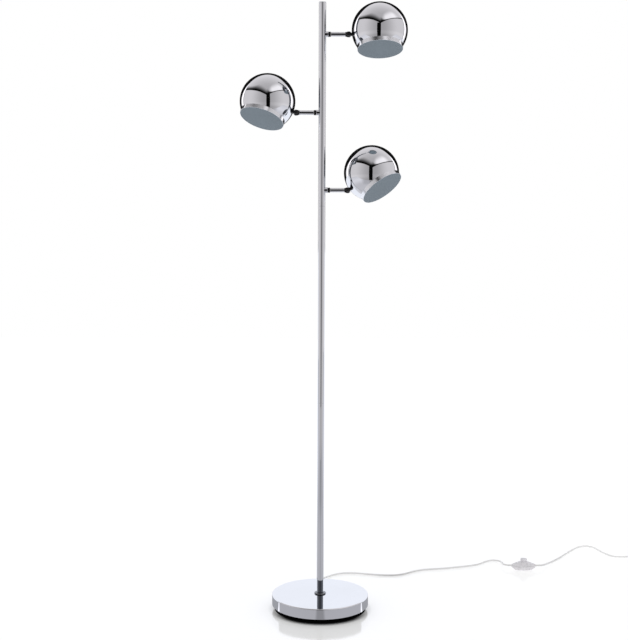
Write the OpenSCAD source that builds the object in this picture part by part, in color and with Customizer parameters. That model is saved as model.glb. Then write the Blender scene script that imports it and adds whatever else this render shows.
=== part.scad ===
// Floor lamp with three ball spots on swivelling, tilting arms.
// Millimetres. The origin is the centre of the base on the floor, +Z is up,
// the front of the lamp faces -Y and the free lead leaves the base at +Y.

/* [Base] */
// Diameter of the chrome base cover
base_d = 250; // [220:1:290]
// Height of the chrome base cover
cover_h = 27; // [24:0.5:34]
// Sheet thickness of the base cover
cover_wall = 1.2; // [0.8:0.1:2]
// Radius of the rounded edge of the base cover
cover_edge_r = 3; // [2:0.5:5]
// Height of the cover's lower edge above the floor
foot_h = 13; // [10:0.5:15]
// How far the black bottom pan stands in from the cover
foot_setback = 6.5; // [4:0.5:9]
// Thickness of the cast weight
weight_h = 12; // [8:0.5:14]
// Thickness of the pad under the pan
pad_h = 1.5; // [1:0.25:2.5]

/* [Pole] */
// Outside diameter of the pole
pole_d = 18; // [17:0.5:22]
// Wall of the pole
pole_wall = 1.2; // [1:0.1:1.6]
// Length of each of the three pole sections
section_l = 503; // [480:1:540]
// Diameter of the collar at the foot of the pole
collar_d = 30.5; // [27:0.5:40]
// Height of the collar at the foot of the pole
collar_h = 3.5; // [2.5:0.5:6]
// Thickness of the cap's visible rim
cap_h = 2; // [1:0.5:4]
// Outside diameter of the hollow stud that holds the pole
stud_d = 10; // [9:0.5:11]

/* [Arms] */
// Distance of the top arm below the pole's top
top_arm_drop = 77; // [60:1:100]
// Distance of the lowest arm above the joint under the pole's upper section
low_arm_rise = 40; // [36:1:60]
// Distance from the pole's axis to the tilt pivot
knuckle_x = 66; // [62:0.5:80]
// Outside diameter of the arm tube
arm_d = 11; // [10.5:0.5:12]
// Wall of the arm tube
arm_wall = 1.1; // [0.9:0.1:1.2]
// Diameter of the boss on the pole
boss_d = 14; // [12.5:0.5:16]
// How far the boss stands out of the pole
boss_l = 5.5; // [5:0.5:8]
// Diameter of the swivel collar
swivel_d = 13; // [12:0.5:15]
// Length of the swivel collar
swivel_l = 5.8; // [5:0.1:7]
// Diameter of the hollow spigot that the arm swivels on
spigot_d = 7; // [6.5:0.25:7.5]
// Bore for the lead through the arms
lead_bore = 4.4; // [4:0.1:4.6]

/* [Knuckle] */
// Radius of the knuckle's barrel
barrel_r = 6; // [5.5:0.25:6.25]
// Width of the knuckle's barrel
barrel_w = 8; // [7.5:0.25:9]
// Thickness of each cheek of the fork
cheek_t = 2.6; // [2.4:0.1:3.2]
// Diameter of the pivot screws' shoulders
pivot_d = 4; // [3.5:0.25:4.5]

/* [Shade] */
// Outside diameter of the ball shade
ball_d = 140; // [132:1:142]
// Sheet thickness of the ball shade
ball_wall = 0.8; // [0.6:0.1:1.2]
// Outside diameter of the shade's mouth
mouth_d = 114; // [108:1:118]
// Distance from the ball's centre to the edge of the mouth
mouth_drop = 50.5; // [50:0.5:54]
// Clear length of the neck between the knuckle's cheeks and the ball
neck_l = 1.5; // [1:0.25:4]
// How far the neck lies below the ball's centre
neck_drop = 10; // [6:0.5:12]
// Thickness of the diffuser disc
diffuser_t = 2; // [1.5:0.25:3]
// Diameter of the lamp holder
holder_d = 28; // [26:1:32]
// Length of the lamp holder
holder_l = 34; // [30:1:36]
// Diameter of the bulb's glass
bulb_d = 45; // [40:1:48]

/* [Pose in the photograph] */
// Tilt of the top, left and low heads, in degrees
head_tilts = [1, 16, 32];
// Turn of the top, left and low heads towards the front, in degrees
head_turns = [17, 23, 27];

/* [Cord] */
// Diameter of the lead
cord_d = 5; // [4.5:0.25:5.5]
// Gap between neighbouring turns of the put-away coil
coil_gap = 0.5; // [0.45:0.05:1]
// Turns in the lower layer of the coil, wound inwards
coil_turns = 2.5; // [2:0.5:3]
// Radius of the coil at the middle of its turns
coil_r = 27.5; // [26:0.5:32]

/* [Foot switch] */
// Length of the foot switch
switch_l = 69; // [64:1:76]
// Width of the foot switch
switch_w = 30; // [28:1:36]
// Height of the switch body
switch_h = 24; // [22:0.5:27]
// Diameter of the push button
button_d = 19; // [17:0.5:20]
// How far the button stands above the switch body
button_rise = 8; // [7:0.5:10]
// Travel of the push button
button_travel = 3; // [2:0.5:3.5]

/* [Plug] */
// Width of the plug body
plug_w = 35; // [30:1:36]
// Length of the plug body
plug_l = 36; // [32:1:44]
// Diameter of the plug pins
pin_d = 4; // [3.8:0.1:4.8]
// Length of the plug pins
pin_l = 19; // [17:0.5:20]

/* [Hidden] */
$fn = 64;

// Clearances
eps = 0.01;
run_gap = 0.05;
seat_gap = 0.02;
face_gap = 0.1;
loose_gap = 0.3;

// Which arm is which
TOP = 0;
LEFT = 1;
LOW = 2;

// Base
base_r = base_d / 2;
base_top = foot_h + cover_h;
weight_top = base_top - cover_wall;
weight_bottom = weight_top - weight_h;
weight_r = base_r - cover_wall - loose_gap;
pan_r = base_r - foot_setback;
pan_rim = 3;
pan_floor = 2;
pan_ring_t = 3;
pan_ring_r = pan_r - 8;
pan_floor_top = pad_h + pan_floor;
pad_r = pan_r - 3.5;
post_r = 5;
post_ring_r = 88;
pan_screw_d = 4;
pan_screw_head_d = 8;
pan_screw_head_h = 2.5;
pan_screw_bite = 8;
nut_af = 17;
nut_h = 5;
nut_corner_r = nut_af / 2 / cos(30);
stud_bore = 6;
stud_low = weight_bottom - nut_h - 2;
stud_into_pole = 22;

// Pole
pole_r = pole_d / 2;
pole_bore_r = pole_r - pole_wall;
pole_top = base_top + 3 * section_l;
foot_plug_l = 25;
joiner_l = 50;
joiner_bore_r = 4.5;
cap_plug_l = 8;
cap_wall = 1.2;

// Lead through the base and the pole
exit_z = foot_h + 7;
exit_y = base_r;
bush_l = 30;
bush_d = 9;
bush_flange_d = 12;
bush_flange_t = 1.5;
bush_tip_d = cord_d + 1.6;
inner_lead_d = 4;
branch_d = 3;
block_size = [22, 16, 20];
block_y = 35;
lead_bend_r = 12;
lead_low_z = pan_floor_top + inner_lead_d / 2 + 0.4;

// Arms
arm_step = (section_l - top_arm_drop - low_arm_rise) / 2;
arm_zs = [for (i = [0 : 2]) pole_top - top_arm_drop - i * arm_step];
arm_sides = [1, -1, 1];
boss_end = pole_r + boss_l;
boss_spigot_d = 8;
swivel_start = boss_end + 0.2;
swivel_end = swivel_start + swivel_l;
washer_t = 0.5;
tube_start = swivel_end + washer_t;
tube_end_wall = 4;
tube_bore_r = arm_d / 2 - arm_wall;
arm_nut_l = 4;
arm_nut_start = tube_start + tube_end_wall + loose_gap;
spigot_end = arm_nut_start + arm_nut_l;
fork_body_x = knuckle_x - barrel_r - 3;
fork_slot_x = knuckle_x - barrel_r - 0.5;
fork_plug_l = 7;
cheek_in = barrel_w / 2 + face_gap;
cheek_out = cheek_in + cheek_t;
cheek_r = barrel_r + 0.2;
screw_head_d = 7.4;
screw_head_t = 1.2;
screw_slot = 1;
screw_in = lead_bore / 2;
lead_gap_at_pivot = 1.9;

// Head, in its own frame: the pivot at the origin, the neck along +X
ball_r = ball_d / 2;
ball_in_r = ball_r - ball_wall;
mouth_r = mouth_d / 2;
mouth_in_r = mouth_r - ball_wall;
ball_face_x = cheek_r + neck_l;
neck_reach = ball_face_x + sqrt(ball_r * ball_r - neck_drop * neck_drop);
ball_c = [neck_reach, 0, neck_drop];
neck_d = 9;
shank_d = 8;
nut_boss_r = 7;
nut_boss_low = neck_drop + nut_boss_r;
nut_boss_x = neck_reach - sqrt(ball_in_r * ball_in_r - nut_boss_low * nut_boss_low) + face_gap;
nut_boss_l = 5;
strap_t = 1.5;
strap_w = 14;
strap_low = -8;
holder_room = 25;
strap_top_z = neck_drop + ball_in_r - holder_room;
strap_bend_x = nut_boss_x + 25;
strap_bend_z = neck_drop + 16;
strap_over = 9;
holder_top = strap_top_z;
holder_neck_d = 10;
holder_neck_l = 6;
holder_socket_d = 15;
holder_socket_l = 26;
bulb_cap_d = 14;
bulb_cap_l = 24;
bulb_neck_r = 12;
bulb_l = 48;
diffuser_rim_l = 8;
diffuser_r = mouth_in_r - 0.2;
head_lead_r = 12;
head_lead_turn_x = nut_boss_x + 13;
head_lead_side_z = strap_top_z - holder_l / 2;

// Put-away coil, just past the right-hand end of the visible lead
coil_c = [976, 432];
coil_pitch = cord_d + coil_gap;
coil_lift = 0.6;
coil_low_z = cord_d / 2 + coil_lift;
coil_r_out = coil_r + coil_turns * coil_pitch / 2;
coil_back_turns = coil_turns + 0.25;
coil_steps = 24;
tie_t = 0.5;
tie_w = 8;
tie_angle = 215;

// Foot switch
switch_c = [589, 338];
switch_split = 12;
switch_cord_z = 12;
switch_tip_r = 5.5;
switch_wall = 2;
switch_side_h = 4.5;
sole_side = 5;
sole_end = 10;
sole_tip_r = 4;
button_stem_d = button_d - 2;
button_lip = 3;
button_top = switch_h + button_rise;
spring_d = 9;
spring_wire = 1;
spring_turns = 5;
button_skirt = 3;

// Plug
plug_h = 2 * (coil_low_z + coil_pitch);
plug_z = coil_low_z + coil_pitch;
plug_relief_l = 32;
plug_relief_d = 10;
plug_corner_r = 6;
pin_pitch = 19;
pin_root = 6;
coil_start = [coil_c[0] - cord_d, coil_c[1] + coil_r_out, coil_low_z];
coil_end = [coil_c[0] + coil_r_out + 0.25 * coil_pitch, coil_c[1] - cord_d];
plug_back_y = coil_end[1];
plug_front_y = plug_back_y - plug_relief_l - plug_l;

// Route of the visible lead from the bush to the foot switch
route_a = [
  [0, 155, 20], [0, 160, 20], [0, 168, 20], [0.5, 184, 18.6], [2.5, 202, 14.4],
  [6.5, 220, 9.4], [13, 238, 5.2], [23, 256, 2.9], [37, 271.5, 2.5], [55, 284.5, 2.5],
  [78, 291.8, 2.5], [103, 290, 2.5], [129, 283, 2.5], [155, 276, 2.5], [183, 271, 2.5],
  [210, 271, 2.5], [234, 279, 2.5], [253.5, 294, 2.5], [272.5, 311, 2.5],
  [295.5, 323, 2.5], [323.5, 330, 2.5], [351.5, 335, 2.5], [380, 343, 2.5],
  [407, 352, 2.5], [433, 361, 2.5], [455, 371, 2.5], [467, 380.3, 2.5],
  [477.5, 391, 2.5], [487.5, 402.5, 2.5], [497.4, 412.4, 2.5], [504, 416.2, 2.5],
  [511.5, 417.5, 2.5], [519, 416.2, 2.6], [525.6, 412.4, 2.9], [530.6, 406.5, 3.4],
  [533.2, 399.3, 4.1], [533.6, 390, 5.2], [533.5, 380, 6.5], [533.2, 370, 7.9],
  [533, 360, 9.3], [534.3, 352.5, 10.3], [538.1, 345.9, 11.1], [544, 340.9, 11.6],
  [551.2, 338.3, 11.9], [555, 338, 12], [558, 338, 12], [561, 338, 12]
];

// Route of the visible lead from the foot switch to the coil
route_b = [
  [617, 338, 12], [622, 338, 12], [628, 338, 12], [636, 339.5, 11.7], [643.5, 344, 10.9],
  [649.5, 351, 9.7], [655.5, 360.5, 8.2], [663, 373, 6.2], [672, 387.5, 4.2],
  [683, 403, 2.8], [697, 421.5, 2.5], [711, 440, 2.5], [723.5, 458, 2.5],
  [739, 482, 2.5], [756, 507, 2.5], [773.5, 531, 2.5], [790, 552, 2.5],
  [804, 563.5, 2.5], [818, 567.5, 2.5], [831, 563, 2.5], [840, 551, 2.5],
  [847, 532, 2.5], [854, 505, 2.5], [866, 475, 2.5], [883, 457, 2.5], [906, 454.5, 2.6],
  [926, 460, 2.9], [943, 465, 3.1],
  coil_start - [14, 0, 0], coil_start - [7, 0, 0], coil_start
];

// A smooth curve through the points of a route, with one step between two points
function bend(a, b, c, d) = (9 * (b + c) - a - d) / 16;
function fine(p) = [
  for (i = [0 : len(p) - 2]) each [
    p[i],
    bend(p[max(i - 1, 0)], p[i], p[i + 1], p[min(i + 2, len(p) - 1)])
  ],
  p[len(p) - 1]
];

function unit(v) = v / norm(v);
function heading(p, i) = unit(p[min(i + 1, len(p) - 1)] - p[max(i - 1, 0)]);

// Ring of points square to the heading, its first point kept towards a side
function ring(c, t, r, n) =
  let (side = unit(cross(t, abs(t[2]) > 0.9 ? [0, 1, 0] : [0, 0, 1])))
  let (up = cross(side, t))
  [for (k = [0 : n - 1]) let (a = 360 * (k + 0.5) / n) c + r * (cos(a) * side + sin(a) * up)];

// One closed tube of n sides along the points
module tube(p, d, n, along = []) {
  last = len(p) - 1;
  points = [
    for (i = [0 : last]) each ring(p[i], len(along) > 0 ? along[i] : heading(p, i), d / 2, n)
  ];
  sides = [
    for (i = [0 : last - 1], k = [0 : n - 1])
      let (a = i * n + k, b = i * n + (k + 1) % n)
      each [[a, b, b + n], [a, b + n, a + n]]
  ];
  ends = [
    for (k = [1 : n - 2]) each [[0, k + 1, k], [last * n, last * n + k, last * n + k + 1]]
  ];
  polyhedron(points = points, faces = concat(sides, ends));
}

// Where the coil is after a number of turns, wound clockwise from above
function coil_climb(t) = min(max((t - coil_turns + 0.25) / 0.5, 0), 1);
function coil_radius(t) = coil_r_out - coil_pitch * (coil_turns - abs(t - coil_turns));
function coil_point(t) = [
  coil_c[0] + coil_radius(t) * sin(360 * t),
  coil_c[1] + coil_radius(t) * cos(360 * t),
  coil_low_z + coil_pitch * coil_climb(t)
];
coil_last = round((coil_turns + coil_back_turns) * coil_steps);
coil_path = concat(
  [coil_start],
  [for (i = [0 : coil_last]) coil_point(i / coil_steps)],
  [[coil_end[0], coil_end[1], plug_z]]
);
coil_ways = [
  for (i = [0 : len(coil_path) - 1])
    i < 2 ? [1, 0, 0] : i > len(coil_path) - 3 ? [0, -1, 0] : heading(coil_path, i)
];
coil_own_gap = min([
  for (i = [0 : len(coil_path) - 1], j = [0 : len(coil_path) - 1])
    if (j - i > coil_steps / 2) norm(coil_path[i] - coil_path[j])
]) - cord_d;
coil_length = cord_d * 2 + 2 * PI * coil_r * (coil_turns + coil_back_turns);
echo(coil_least_gap_mm = coil_own_gap, coil_length_mm = coil_length);

// Frames of the arms and heads in the photographed pose
module arm_frame(i) {
  translate([0, 0, arm_zs[i]])
    rotate([0, 0, arm_sides[i] < 0 ? 180 : 0])
      rotate([-arm_sides[i] * head_turns[i], 0, 0])
        children();
}

module head_frame(i) {
  arm_frame(i)
    translate([knuckle_x, 0, 0])
      rotate([0, -head_tilts[i], 0])
        children();
}

// A rod or a pipe along +X from one place to another
module rod_x(from, to, d) {
  translate([from, 0, 0])
    rotate([0, 90, 0])
      cylinder(h = to - from, d = d);
}

module pipe_x(from, to, d, bore) {
  difference() {
    rod_x(from, to, d);
    rod_x(from - 1, to + 1, bore);
  }
}

module pipe_z(from, to, r, bore_r) {
  translate([0, 0, from])
    difference() {
      cylinder(h = to - from, r = r);
      translate([0, 0, -1])
        cylinder(h = to - from + 2, r = bore_r);
    }
}

// Upper edge of a turned outline: a quarter round of radius r that ends at the given corner
function round_edge(corner, r, n = 8) = [
  for (k = [0 : n]) let (a = 90 * k / n) corner + r * [cos(a) - 1, sin(a) - 1]
];

// Base

module base_cover() {
  inner_edge = cover_edge_r - cover_wall;
  color("silver")
    difference() {
      rotate_extrude($fn = 180)
        polygon(concat(
          [[0, base_top - cover_wall], [0, base_top]],
          [for (k = [8 : -1 : 0]) round_edge([base_r, base_top], cover_edge_r)[k]],
          [[base_r, foot_h], [base_r - cover_wall, foot_h]],
          round_edge([base_r - cover_wall, base_top - cover_wall], inner_edge)
        ));
      translate([0, 0, base_top - cover_wall - 1])
        cylinder(h = cover_wall + 2, d = stud_d + 2 * run_gap);
      translate([0, base_r - cover_wall - 2, exit_z])
        rotate([-90, 0, 0])
          cylinder(h = cover_wall + 4, d = bush_d + 2 * run_gap);
    }
}

module base_weight() {
  color("dimgray")
    difference() {
      rotate_extrude($fn = 180)
        polygon([
          [0, weight_bottom], [weight_r, weight_bottom],
          [weight_r, weight_top - cover_edge_r], [weight_r - cover_edge_r, weight_top],
          [0, weight_top]
        ]);
      translate([0, 0, weight_bottom - 1])
        cylinder(h = weight_h + 2, d = stud_d + 2 * run_gap);
      for (a = [30, 150, 270])
        rotate([0, 0, a])
          translate([post_ring_r, 0, weight_bottom - 1])
            cylinder(h = pan_screw_bite + 2, d = pan_screw_d + 2 * seat_gap);
    }
}

module bottom_pan() {
  color([0.05, 0.05, 0.06])
    difference() {
      union() {
        translate([0, 0, pad_h])
          cylinder(h = pan_floor, r = pan_r, $fn = 180);
        pipe_z(pad_h + pan_floor - eps, foot_h - face_gap, pan_r, pan_r - pan_rim);
        pipe_z(pad_h + pan_floor - eps, weight_bottom, pan_ring_r, pan_ring_r - pan_ring_t);
        for (a = [30, 150, 270])
          rotate([0, 0, a])
            translate([post_ring_r, 0, pad_h + pan_floor - eps])
              cylinder(h = weight_bottom - pad_h - pan_floor + eps, r = post_r);
      }
      for (a = [30, 150, 270])
        rotate([0, 0, a])
          translate([post_ring_r, 0, 0]) {
            cylinder(h = weight_bottom + 1, d = pan_screw_d + 2 * seat_gap);
            cylinder(h = pad_h + pan_screw_head_h, d = pan_screw_head_d + 2 * face_gap);
          }
      translate([-bush_d / 2 - 1, pan_ring_r - pan_ring_t - 3, exit_z - bush_d / 2 - 1])
        cube([bush_d + 2, pan_ring_t + 6, weight_bottom]);
    }
}

module floor_pad() {
  color([0.08, 0.08, 0.08])
    cylinder(h = pad_h, r = pad_r, $fn = 180);
}

module pan_screws() {
  color("gray")
    for (a = [30, 150, 270])
      rotate([0, 0, a])
        translate([post_ring_r, 0, pad_h]) {
          difference() {
            cylinder(h = pan_screw_head_h - face_gap, d = pan_screw_head_d);
            translate([-pan_screw_head_d, -screw_slot / 2, -1])
              cube([2 * pan_screw_head_d, screw_slot, 2]);
          }
          translate([0, 0, pan_screw_head_h - face_gap - eps])
            cylinder(
              h = weight_bottom + pan_screw_bite - pad_h - pan_screw_head_h,
              d = pan_screw_d
            );
        }
}

module pole_collar() {
  edge = collar_h - 1;
  color("silver")
    translate([0, 0, base_top])
      rotate_extrude($fn = 96)
        polygon(concat(
          [[pole_r + run_gap, 0], [collar_d / 2, 0]],
          round_edge([collar_d / 2, collar_h - 0.5], edge),
          [[pole_r + run_gap, collar_h]]
        ));
}

module pole_stud() {
  color("goldenrod")
    pipe_z(stud_low, base_top + stud_into_pole, stud_d / 2, stud_bore / 2);
}

module stud_nut() {
  color("gray")
    translate([0, 0, weight_bottom - nut_h])
      difference() {
        cylinder(h = nut_h, r = nut_corner_r, $fn = 6);
        translate([0, 0, -1])
          cylinder(h = nut_h + 2, d = stud_d + 2 * seat_gap);
      }
}

// Pole

module pole_section(k) {
  color("silver")
    pipe_z(base_top + k * section_l, base_top + (k + 1) * section_l, pole_r, pole_bore_r);
}

module pole_lower() {
  pole_section(0);
  color("silver")
    pipe_z(base_top, base_top + foot_plug_l, pole_bore_r + eps, stud_d / 2 + seat_gap);
}

module pole_middle() {
  pole_section(1);
}

module pole_upper() {
  difference() {
    pole_section(2);
    for (i = [TOP, LEFT, LOW])
      arm_frame(i)
        rod_x(0, pole_r + 5, boss_spigot_d + 2 * run_gap);
  }
}

module pole_joiners() {
  color("goldenrod")
    for (k = [1, 2])
      pipe_z(
        base_top + k * section_l - joiner_l / 2, base_top + k * section_l + joiner_l / 2,
        pole_bore_r - run_gap, joiner_bore_r
      );
}

module pole_cap() {
  color("silver")
    translate([0, 0, pole_top]) {
      rotate_extrude($fn = 96)
        polygon(concat([[0, 0], [pole_r, 0]], round_edge([pole_r, cap_h], cap_h / 2), [[0, cap_h]]));
      pipe_z(-cap_plug_l, eps, pole_bore_r - seat_gap, pole_bore_r - cap_wall);
    }
}

// Swivel of each arm, on the pole's side

module arm_bosses() {
  color("silver")
    for (i = [TOP, LEFT, LOW])
      difference() {
        union() {
          difference() {
            arm_frame(i)
              rod_x(2, boss_end, boss_d);
            translate([0, 0, arm_zs[i] - boss_d])
              cylinder(h = 2 * boss_d, r = pole_r + seat_gap);
          }
          arm_frame(i) {
            rod_x(pole_bore_r - 1, boss_end - 1, boss_spigot_d);
            rod_x(boss_end - 1 - eps, spigot_end, spigot_d);
          }
        }
        arm_frame(i)
          rod_x(0, spigot_end + 1, lead_bore);
      }
}

module swivel_collars() {
  groove = 0.4;
  color("gray")
    for (i = [TOP, LEFT, LOW])
      arm_frame(i)
        difference() {
          union() {
            pipe_x(swivel_start, swivel_start + 1, swivel_d - 2 * groove, spigot_d + 2 * seat_gap);
            pipe_x(
              swivel_start + 1 - eps, swivel_end - 1 + eps,
              swivel_d, spigot_d + 2 * seat_gap
            );
            pipe_x(swivel_end - 1, swivel_end, swivel_d - 2 * groove, spigot_d + 2 * seat_gap);
          }
        }
}

module friction_washers() {
  color("white")
    for (i = [TOP, LEFT, LOW])
      arm_frame(i)
        pipe_x(swivel_end, tube_start, arm_d - 0.6, spigot_d + 2 * seat_gap);
}

module retaining_nuts() {
  color("goldenrod")
    for (i = [TOP, LEFT, LOW])
      arm_frame(i)
        pipe_x(arm_nut_start, spigot_end, 2 * (tube_bore_r - 0.2), spigot_d + 2 * seat_gap);
}

// Leads inside the base, the pole and the arms

module terminal_block() {
  color("ivory")
    translate([-block_size[0] / 2, block_y - block_size[1] / 2, pan_floor_top])
      difference() {
        cube(block_size);
        for (x = [6, 16])
          translate([x, block_size[1] / 2, block_size[2] - 5])
            cylinder(h = 6, d = 4);
      }
}

module inner_leads() {
  block_face = block_y - block_size[1] / 2;
  bend_c = [0, lead_bend_r, lead_low_z + lead_bend_r];
  rise = concat(
    [[0, block_face, lead_low_z]],
    [for (a = [0 : 15 : 90]) bend_c + lead_bend_r * [0, -sin(a), -cos(a)]],
    [[0, 0, arm_zs[TOP] + 6]]
  );
  rise_ways = concat(
    [[0, -1, 0]],
    [for (a = [0 : 15 : 90]) [0, -cos(a), sin(a)]],
    [[0, 0, 1]]
  );
  color("white")
    tube(rise, inner_lead_d, 8, rise_ways);
  color("white")
    for (i = [TOP, LEFT, LOW])
      arm_frame(i)
        rod_x(0, knuckle_x - lead_gap_at_pivot, branch_d);
  color("white")
    translate([0, block_y + block_size[1] / 2, exit_z])
      rotate([-90, 0, 0])
        cylinder(h = exit_y + bush_l - block_y - block_size[1] / 2, d = cord_d);
}

module cord_bush() {
  color("lightgray")
    translate([0, exit_y, exit_z])
      rotate([-90, 0, 0])
        difference() {
          union() {
            translate([0, 0, -cover_wall - 4])
              cylinder(h = cover_wall + 4 + run_gap + eps, d = bush_d);
            translate([0, 0, run_gap])
              cylinder(h = bush_flange_t, d = bush_flange_d);
            translate([0, 0, bush_flange_t])
              cylinder(h = bush_l - bush_flange_t, d1 = bush_d, d2 = bush_tip_d);
          }
          translate([0, 0, -cover_wall - 5])
            cylinder(h = bush_l + cover_wall + 6, d = cord_d + 2 * run_gap);
        }
}

// Free lead

module cord_to_switch() {
  color([0.85, 0.85, 0.86])
    tube(fine(route_a), cord_d, 8);
}

module cord_to_coil() {
  color([0.85, 0.85, 0.86])
    tube(fine(route_b), cord_d, 8);
}

module cord_coil() {
  color([0.85, 0.85, 0.86])
    tube(coil_path, cord_d, 6, coil_ways);
}

module coil_tie() {
  slack = 0.2;
  r_low = coil_r_out - coil_turns * coil_pitch - cord_d / 2 - slack - tie_t;
  r_high = coil_r_out + 0.25 * coil_pitch + cord_d / 2 + slack + tie_t;
  high = coil_low_z + coil_pitch + cord_d / 2 + slack + tie_t;
  color("dimgray")
    translate([coil_c[0], coil_c[1], 0])
      rotate([0, 0, tie_angle])
        translate([r_low, -tie_w / 2, 0])
          difference() {
            cube([r_high - r_low, tie_w, high]);
            translate([tie_t, -1, tie_t])
              cube([r_high - r_low - 2 * tie_t, tie_w + 2, high - 2 * tie_t]);
          }
}

// Foot switch

module switch_outline(inset = 0) {
  hull() {
    circle(d = switch_w - 2 * inset, $fn = 48);
    for (s = [-1, 1])
      translate([s * (switch_l / 2 - switch_tip_r), 0])
        circle(r = switch_tip_r - inset, $fn = 24);
  }
}

module switch_sole(inset = 0) {
  hull() {
    circle(d = switch_w - 2 * sole_side - 2 * inset, $fn = 48);
    for (s = [-1, 1])
      translate([s * (switch_l / 2 - sole_tip_r - sole_end), 0])
        circle(r = sole_tip_r - inset, $fn = 24);
  }
}

module switch_cord_holes() {
  translate([-switch_l, 0, switch_cord_z])
    rotate([0, 90, 0])
      cylinder(h = 2 * switch_l, d = cord_d + 2 * run_gap);
}

module switch_base() {
  color([0.9, 0.9, 0.92])
    translate([switch_c[0], switch_c[1], 0])
      difference() {
        switch_tub(0, switch_split);
        switch_tub(switch_wall, switch_split + eps);
        switch_cord_holes();
      }
}

module switch_tub(inset, top) {
  hull() {
    translate([0, 0, inset])
      linear_extrude(height = 1)
        switch_sole(inset);
    translate([0, 0, switch_split - switch_side_h])
      linear_extrude(height = top - switch_split + switch_side_h)
        switch_outline(inset);
  }
}

module switch_shell(inset) {
  top_r = button_d / 2 + 3 - inset;
  hull() {
    linear_extrude(height = switch_side_h - inset / 2)
      switch_outline(inset);
    translate([0, 0, switch_h - switch_split - inset - 1])
      cylinder(h = 1, r = top_r, $fn = 48);
  }
}

module switch_cover() {
  color([0.92, 0.92, 0.94])
    translate([switch_c[0], switch_c[1], 0])
      difference() {
        translate([0, 0, switch_split])
          switch_shell(0);
        translate([0, 0, switch_split - eps])
          switch_shell(switch_wall);
        translate([0, 0, switch_split])
          cylinder(h = switch_h, d = button_stem_d + 2 * face_gap);
        switch_cord_holes();
      }
}

module switch_button() {
  skirt_z = switch_h - switch_wall - face_gap - button_skirt;
  color("whitesmoke")
    translate([switch_c[0], switch_c[1], 0])
      difference() {
        union() {
          translate([0, 0, skirt_z])
            cylinder(h = button_skirt, d = button_stem_d + 2);
          translate([0, 0, skirt_z + button_skirt - eps])
            cylinder(h = button_top - button_lip - skirt_z - button_skirt + 2 * eps, d = button_stem_d);
          translate([0, 0, button_top - button_lip])
            cylinder(h = button_lip, d = button_d);
        }
        translate([0, 0, skirt_z - 1])
          cylinder(h = button_rise, d = spring_d + spring_wire + 2);
      }
}

module switch_spring() {
  low = switch_wall + spring_wire / 2 + 0.05;
  high = switch_h - switch_wall - face_gap - button_skirt - 1 + button_rise - spring_wire / 2 - 0.05;
  steps = spring_turns * 12;
  path = [
    for (i = [0 : steps])
      let (a = 360 * i / 12)
      [switch_c[0] + spring_d / 2 * cos(a), switch_c[1] + spring_d / 2 * sin(a),
       low + (high - low) * i / steps]
  ];
  color("silver")
    tube(path, spring_wire, 6);
}

// Plug

module plug_body() {
  color([0.9, 0.9, 0.91])
    translate([coil_end[0], plug_back_y, plug_z])
      rotate([90, 0, 0])
        difference() {
          union() {
            cylinder(h = plug_relief_l + 1, d1 = cord_d + 1.4, d2 = plug_relief_d);
            translate([0, 0, plug_relief_l])
              linear_extrude(height = plug_l)
                hull()
                  for (sx = [-1, 1], sy = [-1, 1])
                    translate([
                      sx * (plug_w / 2 - plug_corner_r), sy * (plug_h / 2 - plug_corner_r)
                    ])
                      circle(r = plug_corner_r, $fn = 32);
          }
          for (s = [-1, 1])
            translate([s * pin_pitch / 2, 0, plug_relief_l + plug_l - pin_root])
              cylinder(h = pin_root + 1, d = pin_d + 2 * seat_gap);
        }
}

module plug_pins() {
  color("silver")
    for (s = [-1, 1])
      translate([coil_end[0] + s * pin_pitch / 2, plug_front_y + pin_root, plug_z])
        rotate([90, 0, 0]) {
          cylinder(h = pin_root + pin_l - pin_d / 2, d = pin_d);
          translate([0, 0, pin_root + pin_l - pin_d / 2 - eps])
            cylinder(h = pin_d / 2, d1 = pin_d, d2 = pin_d / 2);
        }
}

// Arm and knuckle

module arm_tube(i) {
  color("silver")
    arm_frame(i) {
      pipe_x(tube_start, fork_body_x, arm_d, 2 * tube_bore_r);
      pipe_x(tube_start, tube_start + tube_end_wall, 2 * tube_bore_r + 2 * eps, spigot_d + 2 * run_gap);
    }
}

module arm_fork(i) {
  color("silver")
    arm_frame(i)
      difference() {
        union() {
          rod_x(fork_body_x - fork_plug_l, fork_body_x + eps, 2 * (tube_bore_r - seat_gap));
          intersection() {
            union() {
              translate([fork_body_x, -cheek_out, -cheek_r])
                cube([knuckle_x - fork_body_x, 2 * cheek_out, 2 * cheek_r]);
              translate([knuckle_x, cheek_out, 0])
                rotate([90, 0, 0])
                  cylinder(h = 2 * cheek_out, r = cheek_r);
            }
            rod_x(fork_body_x, knuckle_x + cheek_r + 1, 2 * cheek_out + 2);
          }
        }
        translate([fork_slot_x, -cheek_in, -cheek_r - 1])
          cube([knuckle_x, 2 * cheek_in, 2 * cheek_r + 2]);
        rod_x(fork_body_x - fork_plug_l - 1, knuckle_x, lead_bore);
        translate([knuckle_x, cheek_out + 1, 0])
          rotate([90, 0, 0])
            cylinder(h = 2 * cheek_out + 2, d = pivot_d + 2 * seat_gap);
        for (s = [-1, 1])
          translate([knuckle_x, s * (cheek_out - screw_head_t), 0])
            rotate([-s * 90, 0, 0])
              cylinder(h = screw_head_t + 1, d = screw_head_d + 2 * face_gap);
      }
}

module pivot_screws(i) {
  color("gray")
    arm_frame(i)
      for (s = [-1, 1])
        translate([knuckle_x, s * (cheek_out - screw_head_t), 0])
          rotate([-s * 90, 0, 0])
            difference() {
              union() {
                cylinder(h = screw_head_t, d = screw_head_d);
                translate([0, 0, -(cheek_out - screw_head_t - screw_in)])
                  cylinder(h = cheek_out - screw_head_t - screw_in + eps, d = pivot_d);
              }
              translate([-screw_head_d, -screw_slot / 2, screw_head_t - 0.7])
                cube([2 * screw_head_d, screw_slot, 1]);
            }
}

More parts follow.
